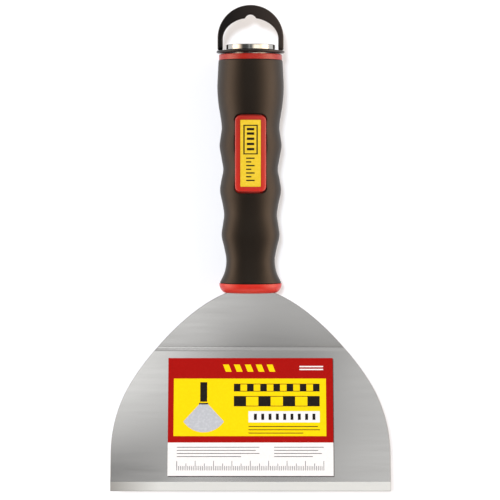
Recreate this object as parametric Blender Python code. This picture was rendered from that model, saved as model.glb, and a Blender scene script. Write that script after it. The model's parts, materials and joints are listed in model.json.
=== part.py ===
"""A bent pole scraper: a stainless fan blade in a soft-grip handle, with a threaded pole socket at the butt and a
hang loop that turns round the butt and folds aside.

Lengths are in metres. Every piece is modelled in the tool's own frame: X across the blade, Y along the handle from
the blade's bend towards the butt, Z out of the labelled side, with the origin on the middle of the sheet at the bend.
The empty tool_axis carries that frame, and lays the tool on a bench at Z = 0, labelled side up.
"""

import math

import bmesh
import bpy
from mathutils import Vector

MM = 0.001
DEGREE = math.pi / 180
FULL_TURN = 2 * math.pi

# Clearances and cuts
FIT_GAP = 0.3 * MM
OVERRUN = 3.0 * MM
MERGE_DISTANCE = 0.003 * MM
SHARP_FROM_ANGLE = 30.0 * DEGREE
ROUNDED_FROM_ANGLE = 60.0 * DEGREE

# Blade
BLADE_WIDTH = 152.4 * MM
BLADE_THICKNESS = 1.5 * MM
BEND_TO_EDGE = 78.1 * MM
BEND_TO_COLLAR = 31.2 * MM
BEND_ANGLE = 15.0 * DEGREE
BEND_INNER_RADIUS = 8.0 * MM
STRAIGHT_SIDE = 20.7 * MM
SHOULDER_ARC = 26.0 * DEGREE
SHOULDER_LOW_PULL = 21.5 * MM
SHOULDER_HIGH_PULL = 23.5 * MM
SHOULDER_SLOPE = 15.0 * DEGREE
SHOULDER_IN_COLLAR = 1.2 * MM
GROUND_BEVEL_WIDTH = 4.9 * MM
EDGE_THICKNESS = 0.5 * MM
SHEET_EDGE_BREAK = 0.2 * MM
TANG_WIDTH = 18.0 * MM
TANG_LENGTH = 92.0 * MM
TANG_CORNER = 4.0 * MM
BEND_STRIPS = 6
SHOULDER_POINTS = 14
CORNER_POINTS = 5

# Pins through the tang
PIN_DIAMETER = 4.0 * MM
FIRST_PIN_FROM_COLLAR = 20.0 * MM
REAR_PIN_FROM_TANG_END = 24.0 * MM

# Handle
COLLAR_LENGTH = 5.2 * MM
COLLAR_FACE_WIDTH = 28.0 * MM
COLLAR_FACE_DEPTH = 19.0 * MM
COLLAR_ROUNDING_SHARES = (
    (0.0, 0.0),
    (0.08, 0.30),
    (0.26, 0.64),
    (0.48, 0.88),
    (0.70, 1.0),
    (0.88, 1.03),
    (1.0, 1.0),
)
GRIP_LENGTH = 122.3 * MM
PALM_WIDTH = 36.4 * MM
BUTT_BAND_WIDTH = 34.5 * MM
BUTT_BAND_LENGTH = 3.5 * MM
BUTT_BAND_EDGE = 0.6 * MM
SLEEVE_WALL = 2.4 * MM
SLEEVE_LIP = 0.5 * MM
SECTION_STEPS = 36
SLEEVE_RINGS = 38
CORE_RINGS = 24

# Along the grip from the collar, then half the width, the height of the top face and the depth of the underside,
# as shares of half the palm's width
GRIP_SHARES = (
    (0.000, 0.937, 0.710, 0.692),
    (0.050, 0.783, 0.665, 0.650),
    (0.104, 0.733, 0.650, 0.640),
    (0.158, 0.792, 0.675, 0.675),
    (0.215, 0.874, 0.715, 0.735),
    (0.262, 0.838, 0.715, 0.710),
    (0.306, 0.799, 0.710, 0.690),
    (0.352, 0.838, 0.727, 0.725),
    (0.415, 0.920, 0.765, 0.795),
    (0.465, 0.878, 0.765, 0.770),
    (0.509, 0.8235, 0.762, 0.740),
    (0.555, 0.868, 0.777, 0.775),
    (0.615, 0.934, 0.805, 0.840),
    (0.655, 0.905, 0.815, 0.825),
    (0.697, 0.868, 0.825, 0.810),
    (0.745, 0.903, 0.850, 0.845),
    (0.805, 0.968, 0.890, 0.895),
    (0.875, 1.000, 0.925, 0.925),
    (0.940, 0.984, 0.950, 0.945),
    (1.000, 0.962, 0.962, 0.962),
)

# Raised pad in the window of the grip, and its sticker
PAD_WIDTH = 17.4 * MM
PAD_LENGTH = 42.6 * MM
PAD_FROM_COLLAR = 50.0 * MM
PAD_HEIGHT = 15.4 * MM
PAD_SLOPE = 1.9 * DEGREE
PAD_ROOT_HEIGHT = 8.0 * MM
PAD_CORNER = 2.4 * MM
PAD_CROWN_RADIUS = 22.0 * MM
PAD_EDGE = 0.4 * MM
STICKER_WIDTH = 11.4 * MM
STICKER_LENGTH = 36.8 * MM
STICKER_CORNER = 0.3 * MM
STICKER_THICKNESS = 0.25 * MM
CROWN_STRIPS = 8

# Card label on the blade
CARD_WIDTH = 90.3 * MM
CARD_LENGTH = 64.8 * MM
CARD_FROM_BEND = 5.2 * MM
CARD_THICKNESS = 0.35 * MM

# Threaded pole socket: a 3/4 inch, five to the inch trapezoid thread
SOCKET_HEAD_DIAMETER = 27.1 * MM
SOCKET_HEAD_HEIGHT = 3.0 * MM
SOCKET_HEAD_EDGE = 0.5 * MM
SOCKET_BODY_DIAMETER = 23.2 * MM
SOCKET_DEPTH = 34.0 * MM
HEX_SIDES = 6
SOCKET_HEX_ACROSS = 21.6 * MM
SOCKET_HEX_LENGTH = 12.0 * MM
SOCKET_GROOVE_DIAMETER = 21.4 * MM
SOCKET_GROOVE_LENGTH = 3.0 * MM
SOCKET_GROOVE_FROM_HEX = 4.0 * MM
THREAD_MAJOR_DIAMETER = 19.5 * MM
THREAD_MINOR_DIAMETER = 14.2 * MM
THREAD_PITCH = 5.08 * MM
THREAD_FLOOR_SHARE = 0.37
THREAD_MOUTH_SHARE = 0.66
THREAD_LEAD_IN = 1.6 * MM
TURN_STEPS = 32

# Swivel ring and hang loop
RING_DIAMETER = 37.2 * MM
RING_THICKNESS = 1.2 * MM
RING_EDGE = 0.4 * MM
LOOP_WIDTH = 36.1 * MM
LOOP_HEIGHT = 25.0 * MM
LOOP_DEPTH = 3.5 * MM
LOOP_LEG_WIDTH = 2.9 * MM
LOOP_CROWN_THICKNESS = 6.6 * MM
LOOP_EYE_ARCH_HEIGHT = 11.1 * MM
LOOP_EDGE = 0.5 * MM
NOTCH_WIDTH = 7.8 * MM
NOTCH_DEPTH = 1.4 * MM
LOOP_ARC_STEPS = 40
FOOT_ROUND_STEPS = 4
FOOT_ROUNDING_SHARE = 0.98

# Laying the tool on the bench
LEAN_ROUNDS = 6

# Places worked out from the sizes above, along Y
COLLAR_FACE_Y = BEND_TO_COLLAR
COLLAR_TOP_Y = COLLAR_FACE_Y + COLLAR_LENGTH
GRIP_TOP_Y = COLLAR_TOP_Y + GRIP_LENGTH
BAND_TOP_Y = GRIP_TOP_Y + BUTT_BAND_LENGTH
RING_LOW_Y = BAND_TOP_Y + FIT_GAP
RING_TOP_Y = RING_LOW_Y + RING_THICKNESS
HEAD_LOW_Y = RING_TOP_Y + FIT_GAP
HEAD_TOP_Y = HEAD_LOW_Y + SOCKET_HEAD_HEIGHT
SOCKET_END_Y = HEAD_TOP_Y - SOCKET_DEPTH
FOLD_AXIS_Y = RING_TOP_Y + FIT_GAP + LOOP_DEPTH / 2
LOOP_TOP_Y = RING_TOP_Y + LOOP_HEIGHT
PAD_LOW_Y = COLLAR_TOP_Y + PAD_FROM_COLLAR
PAD_MIDDLE_Y = PAD_LOW_Y + PAD_LENGTH / 2


def clear_scene():
    for obj in list(bpy.data.objects):
        bpy.data.objects.remove(obj, do_unlink=True)


def material(name, colour, roughness, metallic=0.0):
    """A plain Principled material. The colour is linear RGB."""
    made = bpy.data.materials.new(name)
    made.use_nodes = True
    shader = made.node_tree.nodes["Principled BSDF"]
    shader.inputs["Base Color"].default_value = (*colour, 1.0)
    shader.inputs["Roughness"].default_value = roughness
    shader.inputs["Metallic"].default_value = metallic
    made.diffuse_color = (*colour, 1.0)
    return made


def empty(name, parent=None, place=(0, 0, 0)):
    made = bpy.data.objects.new(name, None)
    made.parent = parent
    made.location = place
    bpy.context.scene.collection.objects.link(made)
    return made


def finish_mesh(bm, name, parent, finish=None, origin=(0, 0, 0)):
    """Turns a bmesh drawn in the tool's frame into an object whose own origin is at a place in that frame."""
    bmesh.ops.recalc_face_normals(bm, faces=bm.faces)
    if bm.calc_volume(signed=True) < 0:
        bmesh.ops.reverse_faces(bm, faces=bm.faces)
    bmesh.ops.translate(bm, verts=bm.verts, vec=-Vector(origin))
    mesh = bpy.data.meshes.new(name)
    bm.to_mesh(mesh)
    bm.free()
    mesh.shade_smooth()
    mesh.set_sharp_from_angle(angle=SHARP_FROM_ANGLE)
    if finish:
        mesh.materials.append(finish)
    made = bpy.data.objects.new(name, mesh)
    made.parent = parent
    made.location = origin
    bpy.context.scene.collection.objects.link(made)
    return made


def as_cutter(obj):
    obj.hide_render = True
    obj.display_type = "WIRE"
    return obj


def boolean(target, tool, operation="DIFFERENCE"):
    modifier = target.modifiers.new(f"{operation.lower()} {tool.name}", "BOOLEAN")
    modifier.operation = operation
    modifier.object = as_cutter(tool)


def smooth_row(rows, position):
    """Reads a table of rows, each starting with its position, along a smooth curve through the rows."""
    index = 0
    while index < len(rows) - 2 and rows[index + 1][0] < position:
        index += 1
    before, start, end, after = (
        rows[max(index - 1, 0)],
        rows[index],
        rows[index + 1],
        rows[min(index + 2, len(rows) - 1)],
    )
    span = end[0] - start[0]
    t = min(max((position - start[0]) / span, 0.0), 1.0)
    values = []
    for column in range(1, len(start)):
        leaving = (end[column] - before[column]) / (end[0] - before[0]) * span
        arriving = (after[column] - start[column]) / (after[0] - start[0]) * span
        rise = end[column] - start[column]
        values.append(
            start[column]
            + leaving * (t - 2 * t**2 + t**3)
            + rise * (3 * t**2 - 2 * t**3)
            + arriving * (t**3 - t**2)
        )
    return values


def grip_section(y):
    """Half width, top height and underside depth of the grip at a place along the handle."""
    share = (y - COLLAR_TOP_Y) / GRIP_LENGTH
    return [value * PALM_WIDTH / 2 for value in smooth_row(GRIP_SHARES, share)]


def inset_section(y, inset):
    return [size - inset for size in grip_section(y)]


def loft(rings):
    """A closed body through oval rings, each given as its y, half width, top height and underside depth."""
    bm = bmesh.new()
    loops = []
    for y, half_width, top, underside in rings:
        loop = bmesh.ops.create_circle(bm, segments=SECTION_STEPS, radius=1)["verts"]
        for vertex in loop:
            across, up = vertex.co.x, vertex.co.y
            vertex.co = (across * half_width, y, up * (top if up > 0 else underside))
        loops.append(loop)
    for lower, upper in zip(loops, loops[1:]):
        for step in range(SECTION_STEPS):
            bm.faces.new((lower[step - 1], lower[step], upper[step], upper[step - 1]))
    bm.faces.new(loops[0])
    bm.faces.new(loops[-1])
    return bm


def turned(profile, closed=True):
    """A body turned about the handle's axis from (radius, y) points. They close on themselves, or run from the axis
    out and back to it.
    """
    bm = bmesh.new()
    points = [bm.verts.new((radius, y, 0)) for radius, y in profile]
    pairs = list(zip(points, points[1:]))
    if closed:
        pairs.append((points[-1], points[0]))
    edges = [bm.edges.new(pair) for pair in pairs]
    bmesh.ops.spin(
        bm,
        geom=points + edges,
        cent=(0, 0, 0),
        axis=(0, 1, 0),
        angle=FULL_TURN,
        steps=TURN_STEPS,
        use_merge=True,
    )
    bmesh.ops.remove_doubles(bm, verts=bm.verts, dist=MERGE_DISTANCE)
    return bm


def prism(outline, low, high):
    """A flat body over an outline of (x, y) points, from the height low to the height high."""
    bm = bmesh.new()
    face = bm.faces.new([bm.verts.new((x, y, low)) for x, y in outline])
    extruded = bmesh.ops.extrude_face_region(bm, geom=[face])
    raised = [item for item in extruded["geom"] if isinstance(item, bmesh.types.BMVert)]
    bmesh.ops.translate(bm, verts=raised, vec=(0, 0, high - low))
    return bm


def slice_along(bm, axis, places):
    """Splits the faces of a body where they cross each of these places along an axis."""
    for place in places:
        bmesh.ops.bisect_plane(
            bm,
            geom=bm.verts[:] + bm.edges[:] + bm.faces[:],
            plane_co=axis * place,
            plane_no=axis,
            dist=MERGE_DISTANCE,
        )


def mirrored(right_half):
    """A whole outline from its right half, which runs from the bottom up."""
    return right_half + [(-x, y) for x, y in reversed(right_half)]


def arc(centre, radius, start, end, steps):
    """Points on an arc, with angles from +X towards +Y."""
    return [
        (
            centre[0] + radius * math.cos(start + (end - start) * step / steps),
            centre[1] + radius * math.sin(start + (end - start) * step / steps),
        )
        for step in range(steps + 1)
    ]


def rounded_rectangle(width, low, high, corner):
    upper = arc((width / 2 - corner, high - corner), corner, 0, math.pi / 2, CORNER_POINTS)
    lower = arc((width / 2 - corner, low + corner), corner, -math.pi / 2, 0, CORNER_POINTS)
    return mirrored(lower + upper)


def fold_sheet(bm):
    """Bends a flat sheet about the line y = 0: what lies before it swings up by the bend angle."""
    middle_radius = BEND_INNER_RADIUS + BLADE_THICKNESS / 2
    half_arc = middle_radius * BEND_ANGLE / 2
    for vertex in bm.verts:
        along, offset = vertex.co.y, vertex.co.z
        if along >= half_arc:
            continue
        turn = min((half_arc - along) / middle_radius, BEND_ANGLE)
        beyond = max(-half_arc - along, 0.0)
        vertex.co.y = half_arc - (middle_radius - offset) * math.sin(turn) - beyond * math.cos(turn)
        vertex.co.z = middle_radius - (middle_radius - offset) * math.cos(turn) + beyond * math.sin(turn)


def bend_places():
    half_arc = (BEND_INNER_RADIUS + BLADE_THICKNESS / 2) * BEND_ANGLE / 2
    return [half_arc * (2 * strip / BEND_STRIPS - 1) for strip in range(BEND_STRIPS + 1)]


def shoulder_curve():
    """The sweep from the end of the corner arc up to the tang, as one cubic curve."""
    half = BLADE_WIDTH / 2
    centre_y = STRAIGHT_SIDE - BEND_TO_EDGE
    turn = SHOULDER_ARC
    start = Vector((half * math.cos(turn), centre_y + half * math.sin(turn)))
    end = Vector((TANG_WIDTH / 2, COLLAR_FACE_Y + SHOULDER_IN_COLLAR))
    leaving = Vector((-math.sin(turn), math.cos(turn))) * SHOULDER_LOW_PULL
    arriving = Vector((math.cos(SHOULDER_SLOPE), -math.sin(SHOULDER_SLOPE))) * SHOULDER_HIGH_PULL
    points = []
    for step in range(SHOULDER_POINTS + 1):
        t = step / SHOULDER_POINTS
        point = (
            start * (1 - t) ** 3
            + (start + leaving) * 3 * t * (1 - t) ** 2
            + (end + arriving) * 3 * t**2 * (1 - t)
            + end * t**3
        )
        points.append((point.x, point.y))
    return points


def blade_outline(gap=0.0):
    """The flat blade, or with a gap the space that its tang and shoulder need in the core."""
    half = BLADE_WIDTH / 2
    centre = (0.0, STRAIGHT_SIDE - BEND_TO_EDGE)
    side = [(half, -BEND_TO_EDGE)]
    side += arc(centre, half, 0, SHOULDER_ARC, CORNER_POINTS)[:-1]
    side += shoulder_curve()
    side = [(x, y + gap) for x, y in side]
    tang_half = TANG_WIDTH / 2 + gap
    tang_end = COLLAR_FACE_Y + TANG_LENGTH + gap
    side[-1] = (tang_half, side[-1][1])
    side += arc((tang_half - TANG_CORNER, tang_end - TANG_CORNER), TANG_CORNER, 0, math.pi / 2, CORNER_POINTS)
    return mirrored(side)


def pin_places():
    return {
        "tang_pin_front": COLLAR_FACE_Y + FIRST_PIN_FROM_COLLAR,
        "tang_pin_rear": COLLAR_FACE_Y + TANG_LENGTH - REAR_PIN_FROM_TANG_END,
    }


def pin(name, parent, y, gap=0.0, finish=None):
    """A pin through the tang and the core. With a gap it is the tool that drills its hole."""
    top, underside = inset_section(y, SLEEVE_WALL + 2 * FIT_GAP)[1:]
    low, high = -underside - gap, top + gap
    bm = bmesh.new()
    bmesh.ops.create_cone(
        bm,
        cap_ends=True,
        segments=TURN_STEPS // 2,
        radius1=PIN_DIAMETER / 2 + gap,
        radius2=PIN_DIAMETER / 2 + gap,
        depth=high - low + (2 * OVERRUN if gap else 0.0),
    )
    bmesh.ops.translate(bm, verts=bm.verts, vec=(0, y, (low + high) / 2))
    return finish_mesh(bm, name, parent, finish, origin=(0, y, 0))


def make_blade(parent):
    bm = prism(blade_outline(), -BLADE_THICKNESS / 2, BLADE_THICKNESS / 2)
    ground_y = GROUND_BEVEL_WIDTH - BEND_TO_EDGE
    slice_along(bm, Vector((0, 1, 0)), [ground_y] + bend_places())
    for vertex in bm.verts:
        if vertex.co.z > 0 and vertex.co.y < ground_y:
            ground = (ground_y - vertex.co.y) / GROUND_BEVEL_WIDTH
            vertex.co.z -= ground * (BLADE_THICKNESS - EDGE_THICKNESS)
    fold_sheet(bm)
    steel = material("Stainless steel", (0.55, 0.55, 0.54), 0.28, 1.0)
    blade = finish_mesh(bm, "blade", parent, steel)
    for name, y in pin_places().items():
        boolean(blade, pin(f"{name}_hole_in_blade", parent, y, FIT_GAP))
    edge_break = blade.modifiers.new("broken edges", "BEVEL")
    edge_break.width = SHEET_EDGE_BREAK
    edge_break.segments = 1
    edge_break.angle_limit = ROUNDED_FROM_ANGLE
    return blade


def slot_for_blade(parent):
    """The space that the tang and the top of the blade's shoulder take in the core."""
    half = BLADE_THICKNESS / 2 + FIT_GAP
    return finish_mesh(prism(blade_outline(FIT_GAP), -half, half), "space_for_tang", parent)


def collar_rings():
    """The red collar, from its face on the blade up to the foot of the grip."""
    width, top, underside = grip_section(COLLAR_TOP_Y)
    face = (COLLAR_FACE_WIDTH / 2, COLLAR_FACE_DEPTH / 2, COLLAR_FACE_DEPTH / 2)
    rings = []
    for along, out in COLLAR_ROUNDING_SHARES:
        sizes = [small + (large - small) * out for small, large in zip(face, (width, top, underside))]
        rings.append((COLLAR_FACE_Y + COLLAR_LENGTH * along, *sizes))
    return rings


def places_along_grip(count):
    return [COLLAR_TOP_Y + GRIP_LENGTH * ring / count for ring in range(count + 1)]


def core_rings():
    inset = SLEEVE_WALL + FIT_GAP
    rings = collar_rings()
    rings += [(y, *inset_section(y, inset)) for y in places_along_grip(CORE_RINGS)]
    radius = BUTT_BAND_WIDTH / 2
    small = radius - BUTT_BAND_EDGE
    rings.append((GRIP_TOP_Y, radius, radius, radius))
    rings.append((BAND_TOP_Y - BUTT_BAND_EDGE, radius, radius, radius))
    rings.append((BAND_TOP_Y, small, small, small))
    return rings


def crowned_slab(outline, low, high, low_is_crowned):
    """A slab over an outline whose top, and if wanted its underside, is arched across the handle and leans with
    the pad.
    """
    bm = prism(outline, low, high)
    half = max(x for x, y in outline)
    places = [half * (2 * strip / CROWN_STRIPS - 1) for strip in range(1, CROWN_STRIPS)]
    slice_along(bm, Vector((1, 0, 0)), places)
    middle = (low + high) / 2
    for vertex in bm.verts:
        if low_is_crowned or vertex.co.z > middle:
            vertex.co.z -= PAD_CROWN_RADIUS - math.sqrt(PAD_CROWN_RADIUS**2 - vertex.co.x**2)
            vertex.co.z += (vertex.co.y - PAD_MIDDLE_Y) * math.tan(PAD_SLOPE)
    return bm


def pad_outline(gap=0.0):
    return rounded_rectangle(
        PAD_WIDTH + 2 * gap, PAD_LOW_Y - gap, PAD_LOW_Y + PAD_LENGTH + gap, PAD_CORNER + gap
    )


def make_pad(parent):
    bm = crowned_slab(pad_outline(), PAD_ROOT_HEIGHT, PAD_HEIGHT, False)
    rim = [
        edge
        for edge in bm.edges
        if sorted(abs(face.normal.z) > 0.5 for face in edge.link_faces) == [False, True]
        and min(vertex.co.z for vertex in edge.verts) > PAD_ROOT_HEIGHT + PAD_EDGE
    ]
    bmesh.ops.bevel(
        bm, geom=rim, offset=PAD_EDGE, segments=2, profile=0.5, affect="EDGES", material=-1
    )
    return finish_mesh(bm, "pad_on_core", parent)


def make_core(parent):
    red = material("Hard red plastic", (0.60, 0.030, 0.020), 0.35)
    core = finish_mesh(loft(core_rings()), "handle_core", parent, red)
    boolean(core, make_pad(parent), "UNION")
    boolean(core, slot_for_blade(parent))
    boolean(core, socket_space(parent))
    for name, y in pin_places().items():
        boolean(core, pin(f"{name}_hole_in_core", parent, y, FIT_GAP))
    return core


def sleeve_outside_rings():
    """The outside of the sleeve, with a small lip turned in at each end."""
    start, end = COLLAR_TOP_Y + FIT_GAP, GRIP_TOP_Y - FIT_GAP
    rings = [(start, *inset_section(start, SLEEVE_LIP)), (start + SLEEVE_LIP, *grip_section(start))]
    rings += [(y, *grip_section(y)) for y in places_along_grip(SLEEVE_RINGS)[1:-1]]
    rings += [(end - SLEEVE_LIP, *grip_section(end)), (end, *inset_section(end, SLEEVE_LIP))]
    return rings


def sleeve_inside_rings():
    """The space inside the sleeve, which runs out past both of its ends."""
    rings = [(y, *inset_section(y, SLEEVE_WALL)) for y in places_along_grip(CORE_RINGS)]
    first, last = rings[0], rings[-1]
    return [(first[0] - OVERRUN, *first[1:])] + rings + [(last[0] + OVERRUN, *last[1:])]


def make_sleeve(parent):
    rubber = material("Dark soft rubber", (0.030, 0.022, 0.018), 0.62)
    sleeve = finish_mesh(loft(sleeve_outside_rings()), "grip_sleeve", parent, rubber)
    window = prism(pad_outline(FIT_GAP), 0.0, PALM_WIDTH)
    boolean(sleeve, finish_mesh(loft(sleeve_inside_rings()), "space_in_sleeve", parent))
    boolean(sleeve, finish_mesh(window, "window_in_sleeve", parent))
    return sleeve


def make_sticker(parent):
    margin = (PAD_LENGTH - STICKER_LENGTH) / 2
    outline = rounded_rectangle(
        STICKER_WIDTH, PAD_LOW_Y + margin, PAD_LOW_Y + PAD_LENGTH - margin, STICKER_CORNER
    )
    low = PAD_HEIGHT + FIT_GAP
    bm = crowned_slab(outline, low, low + STICKER_THICKNESS, True)
    yellow = material("Yellow sticker", (0.84, 0.62, 0.02), 0.30)
    return finish_mesh(bm, "handle_label", parent, yellow)


def make_card(parent):
    half = CARD_WIDTH / 2
    near, far = -CARD_FROM_BEND, -CARD_FROM_BEND - CARD_LENGTH
    low = BLADE_THICKNESS / 2 + FIT_GAP
    bm = prism([(half, far), (half, near), (-half, near), (-half, far)], low, low + CARD_THICKNESS)
    fold_sheet(bm)
    print_red = material("Printed card", (0.42, 0.010, 0.008), 0.40)
    return finish_mesh(bm, "blade_label", parent, print_red)


def socket_profile(gap):
    """The outside of the socket from its inner end to its head, as (radius, y) points."""
    body = SOCKET_BODY_DIAMETER / 2 + gap
    groove = SOCKET_GROOVE_DIAMETER / 2 + gap
    groove_low = SOCKET_END_Y + SOCKET_HEX_LENGTH + SOCKET_GROOVE_FROM_HEX + gap
    groove_high = groove_low + SOCKET_GROOVE_LENGTH - 2 * gap
    return [
        (body, SOCKET_END_Y - gap),
        (body, groove_low),
        (groove, groove_low),
        (groove, groove_high),
        (body, groove_high),
    ]


def hex_trimmer(name, parent, gap):
    """A six-sided tube that planes the flats on the inner end of the socket."""
    bm = bmesh.new()
    flat = SOCKET_HEX_ACROSS / 2 + gap
    for radius in (flat / math.cos(math.pi / HEX_SIDES), SOCKET_BODY_DIAMETER):
        bmesh.ops.create_circle(bm, segments=HEX_SIDES, radius=radius)
    faces = bmesh.ops.bridge_loops(bm, edges=bm.edges)["faces"]
    extruded = bmesh.ops.extrude_face_region(bm, geom=faces)
    raised = [item for item in extruded["geom"] if isinstance(item, bmesh.types.BMVert)]
    bmesh.ops.translate(bm, verts=raised, vec=(0, 0, SOCKET_HEX_LENGTH + OVERRUN - gap))
    for vertex in bm.verts:
        vertex.co = (vertex.co.x, SOCKET_END_Y - OVERRUN + vertex.co.z, vertex.co.y)
    return finish_mesh(bm, name, parent)


def socket_space(parent):
    """The space in the core that the socket fills."""
    outside = socket_profile(FIT_GAP)
    body = SOCKET_BODY_DIAMETER / 2 + FIT_GAP
    end_y, mouth_y = SOCKET_END_Y - FIT_GAP, BAND_TOP_Y + OVERRUN
    space = finish_mesh(
        turned([(0.0, end_y)] + outside + [(body, mouth_y), (0.0, mouth_y)], closed=False),
        "space_for_socket",
        parent,
    )
    boolean(space, hex_trimmer("flats_in_core", parent, FIT_GAP))
    return space


def thread_cutter(parent):
    """The helical groove of the thread, which runs out past both ends of the socket."""
    minor, major = THREAD_MINOR_DIAMETER / 2, THREAD_MAJOR_DIAMETER / 2
    depth = major - minor
    inner = minor - depth / 4
    widening = (THREAD_MOUTH_SHARE - THREAD_FLOOR_SHARE) * THREAD_PITCH / 2
    floor_half = THREAD_FLOOR_SHARE * THREAD_PITCH / 2
    mouth_half = floor_half + widening * (major - inner) / depth
    start_y = SOCKET_END_Y - THREAD_PITCH
    turns = math.ceil((SOCKET_DEPTH + 2 * THREAD_PITCH) / THREAD_PITCH)
    bm = bmesh.new()
    corners = [
        (inner, start_y - mouth_half),
        (major, start_y - floor_half),
        (major, start_y + floor_half),
        (inner, start_y + mouth_half),
    ]
    face = bm.faces.new([bm.verts.new((radius, y, 0)) for radius, y in corners])
    bmesh.ops.spin(
        bm,
        geom=[face] + list(face.edges) + list(face.verts),
        cent=(0, 0, 0),
        axis=(0, 1, 0),
        dvec=(0, THREAD_PITCH / TURN_STEPS, 0),
        angle=FULL_TURN * turns,
        steps=TURN_STEPS * turns,
    )
    return finish_mesh(bm, "thread_groove", parent)


def make_socket(parent):
    neck = SOCKET_BODY_DIAMETER / 2
    head = SOCKET_HEAD_DIAMETER / 2
    bore = THREAD_MINOR_DIAMETER / 2
    mouth = bore + THREAD_LEAD_IN
    profile = [(bore, SOCKET_END_Y)] + socket_profile(0.0)
    profile += [
        (neck, HEAD_LOW_Y),
        (head, HEAD_LOW_Y),
        (head, HEAD_TOP_Y - SOCKET_HEAD_EDGE),
        (head - SOCKET_HEAD_EDGE, HEAD_TOP_Y),
        (mouth, HEAD_TOP_Y),
        (bore, HEAD_TOP_Y - THREAD_LEAD_IN),
    ]
    nickel = material("Nickel plated steel", (0.70, 0.66, 0.60), 0.12, 1.0)
    socket = finish_mesh(turned(profile), "pole_socket", parent, nickel)
    boolean(socket, hex_trimmer("flats_on_socket", parent, 0.0))
    boolean(socket, thread_cutter(parent))
    return socket


def make_ring(parent):
    outer = RING_DIAMETER / 2
    inner = SOCKET_BODY_DIAMETER / 2 + FIT_GAP
    profile = [
        (inner, RING_LOW_Y),
        (outer - RING_EDGE, RING_LOW_Y),
        (outer, RING_LOW_Y + RING_EDGE),
        (outer, RING_TOP_Y - RING_EDGE),
        (outer - RING_EDGE, RING_TOP_Y),
        (inner, RING_TOP_Y),
    ]
    black = material("Black flexible plastic", (0.012, 0.010, 0.009), 0.40)
    return finish_mesh(turned(profile), "swivel_ring", parent, black)


def loop_outline():
    """The hang loop in its own plane: a half-round outside on straight legs, and an arched eye with a nail notch."""
    outer, inner = LOOP_WIDTH / 2, LOOP_WIDTH / 2 - LOOP_LEG_WIDTH
    foot_y = RING_TOP_Y + FIT_GAP
    outside = arc((0.0, LOOP_TOP_Y - outer), outer, 0, math.pi, LOOP_ARC_STEPS)
    arch_top = LOOP_TOP_Y - LOOP_CROWN_THICKNESS
    arch_low = arch_top - LOOP_EYE_ARCH_HEIGHT
    inside = []
    for step in range(LOOP_ARC_STEPS + 1):
        angle = math.pi * (1 - step / LOOP_ARC_STEPS)
        x = inner * math.cos(angle)
        y = arch_low + LOOP_EYE_ARCH_HEIGHT * math.sin(angle)
        if abs(x) < NOTCH_WIDTH / 2:
            y += NOTCH_DEPTH * (1 + math.cos(FULL_TURN * x / NOTCH_WIDTH)) / 2
        inside.append((x, y))
    return [(outer, foot_y)] + outside + [(-outer, foot_y), (-inner, foot_y)] + inside + [(inner, foot_y)]


def make_loop(ring):
    """The hang loop. Its feet are rounded about the line that it folds on."""
    bm = prism(loop_outline(), -LOOP_DEPTH / 2, LOOP_DEPTH / 2)
    foot_y = RING_TOP_Y + FIT_GAP
    toes = [
        edge
        for edge in bm.edges
        if all(vertex.co.y < foot_y + FIT_GAP for vertex in edge.verts)
        and abs(edge.verts[0].co.x - edge.verts[1].co.x) > FIT_GAP
    ]
    bmesh.ops.bevel(
        bm,
        geom=toes,
        offset=LOOP_DEPTH / 2 * FOOT_ROUNDING_SHARE,
        segments=FOOT_ROUND_STEPS,
        profile=0.5,
        affect="EDGES",
        material=-1,
    )
    black = bpy.data.materials["Black flexible plastic"]
    loop = finish_mesh(bm, "hang_loop", ring, black, origin=(0, FOLD_AXIS_Y, 0))
    edge_break = loop.modifiers.new("rounded edges", "BEVEL")
    edge_break.width = LOOP_EDGE
    edge_break.segments = 2
    edge_break.angle_limit = ROUNDED_FROM_ANGLE
    return loop


def solids():
    return [obj for obj in bpy.context.scene.objects if obj.type == "MESH" and not obj.hide_render]


def points_of(obj):
    """The points of an object as it is seen, in world space."""
    seen = obj.evaluated_get(bpy.context.evaluated_depsgraph_get())
    mesh = seen.to_mesh()
    points = [seen.matrix_world @ vertex.co for vertex in mesh.vertices]
    seen.to_mesh_clear()
    return points


def lay_on_bench(axis):
    """Leans the tool until its handle lies on the bench at the collar and at the butt, and centres it there."""
    bpy.context.view_layer.update()
    points = [point for obj in solids() for point in points_of(obj) if point.y > COLLAR_FACE_Y]
    middle_y = COLLAR_TOP_Y + GRIP_LENGTH / 2
    lean = 0.0
    for _ in range(LEAN_ROUNDS):
        front = min(
            (point for point in points if point.y < middle_y),
            key=lambda point: point.y * math.sin(lean) + point.z * math.cos(lean),
        )
        lean = max(
            math.atan2(front.z - point.z, point.y - front.y) for point in points if point.y > middle_y
        )
    axis.rotation_euler.x = lean
    bpy.context.view_layer.update()
    points = [point for obj in solids() for point in points_of(obj)]
    low = Vector([min(point[k] for point in points) for k in range(3)])
    high = Vector([max(point[k] for point in points) for k in range(3)])
    axis.location = (-(low.x + high.x) / 2, -(low.y + high.y) / 2, -low.z)
    bpy.context.view_layer.update()
    print(f"lean {lean / DEGREE:.3f} degrees, size {(high - low) / MM} mm")


def main():
    clear_scene()
    axis = empty("tool_axis")
    make_blade(axis)
    make_core(axis)
    steel = material("Steel pin", (0.45, 0.45, 0.45), 0.35, 1.0)
    for name, y in pin_places().items():
        pin(name, axis, y, finish=steel)
    make_sleeve(axis)
    make_sticker(axis)
    make_card(axis)
    make_socket(axis)
    swivel_axis = empty("loop_swivel_axis", axis, (0, (RING_LOW_Y + RING_TOP_Y) / 2, 0))
    ring = make_ring(axis)
    ring.parent = swivel_axis
    ring.location = -swivel_axis.location
    fold_axis = empty("loop_fold_axis", swivel_axis, Vector((0, FOLD_AXIS_Y, 0)) - swivel_axis.location)
    loop = make_loop(axis)
    loop.parent = fold_axis
    loop.location = (0, 0, 0)
    lay_on_bench(axis)


main()
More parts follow.
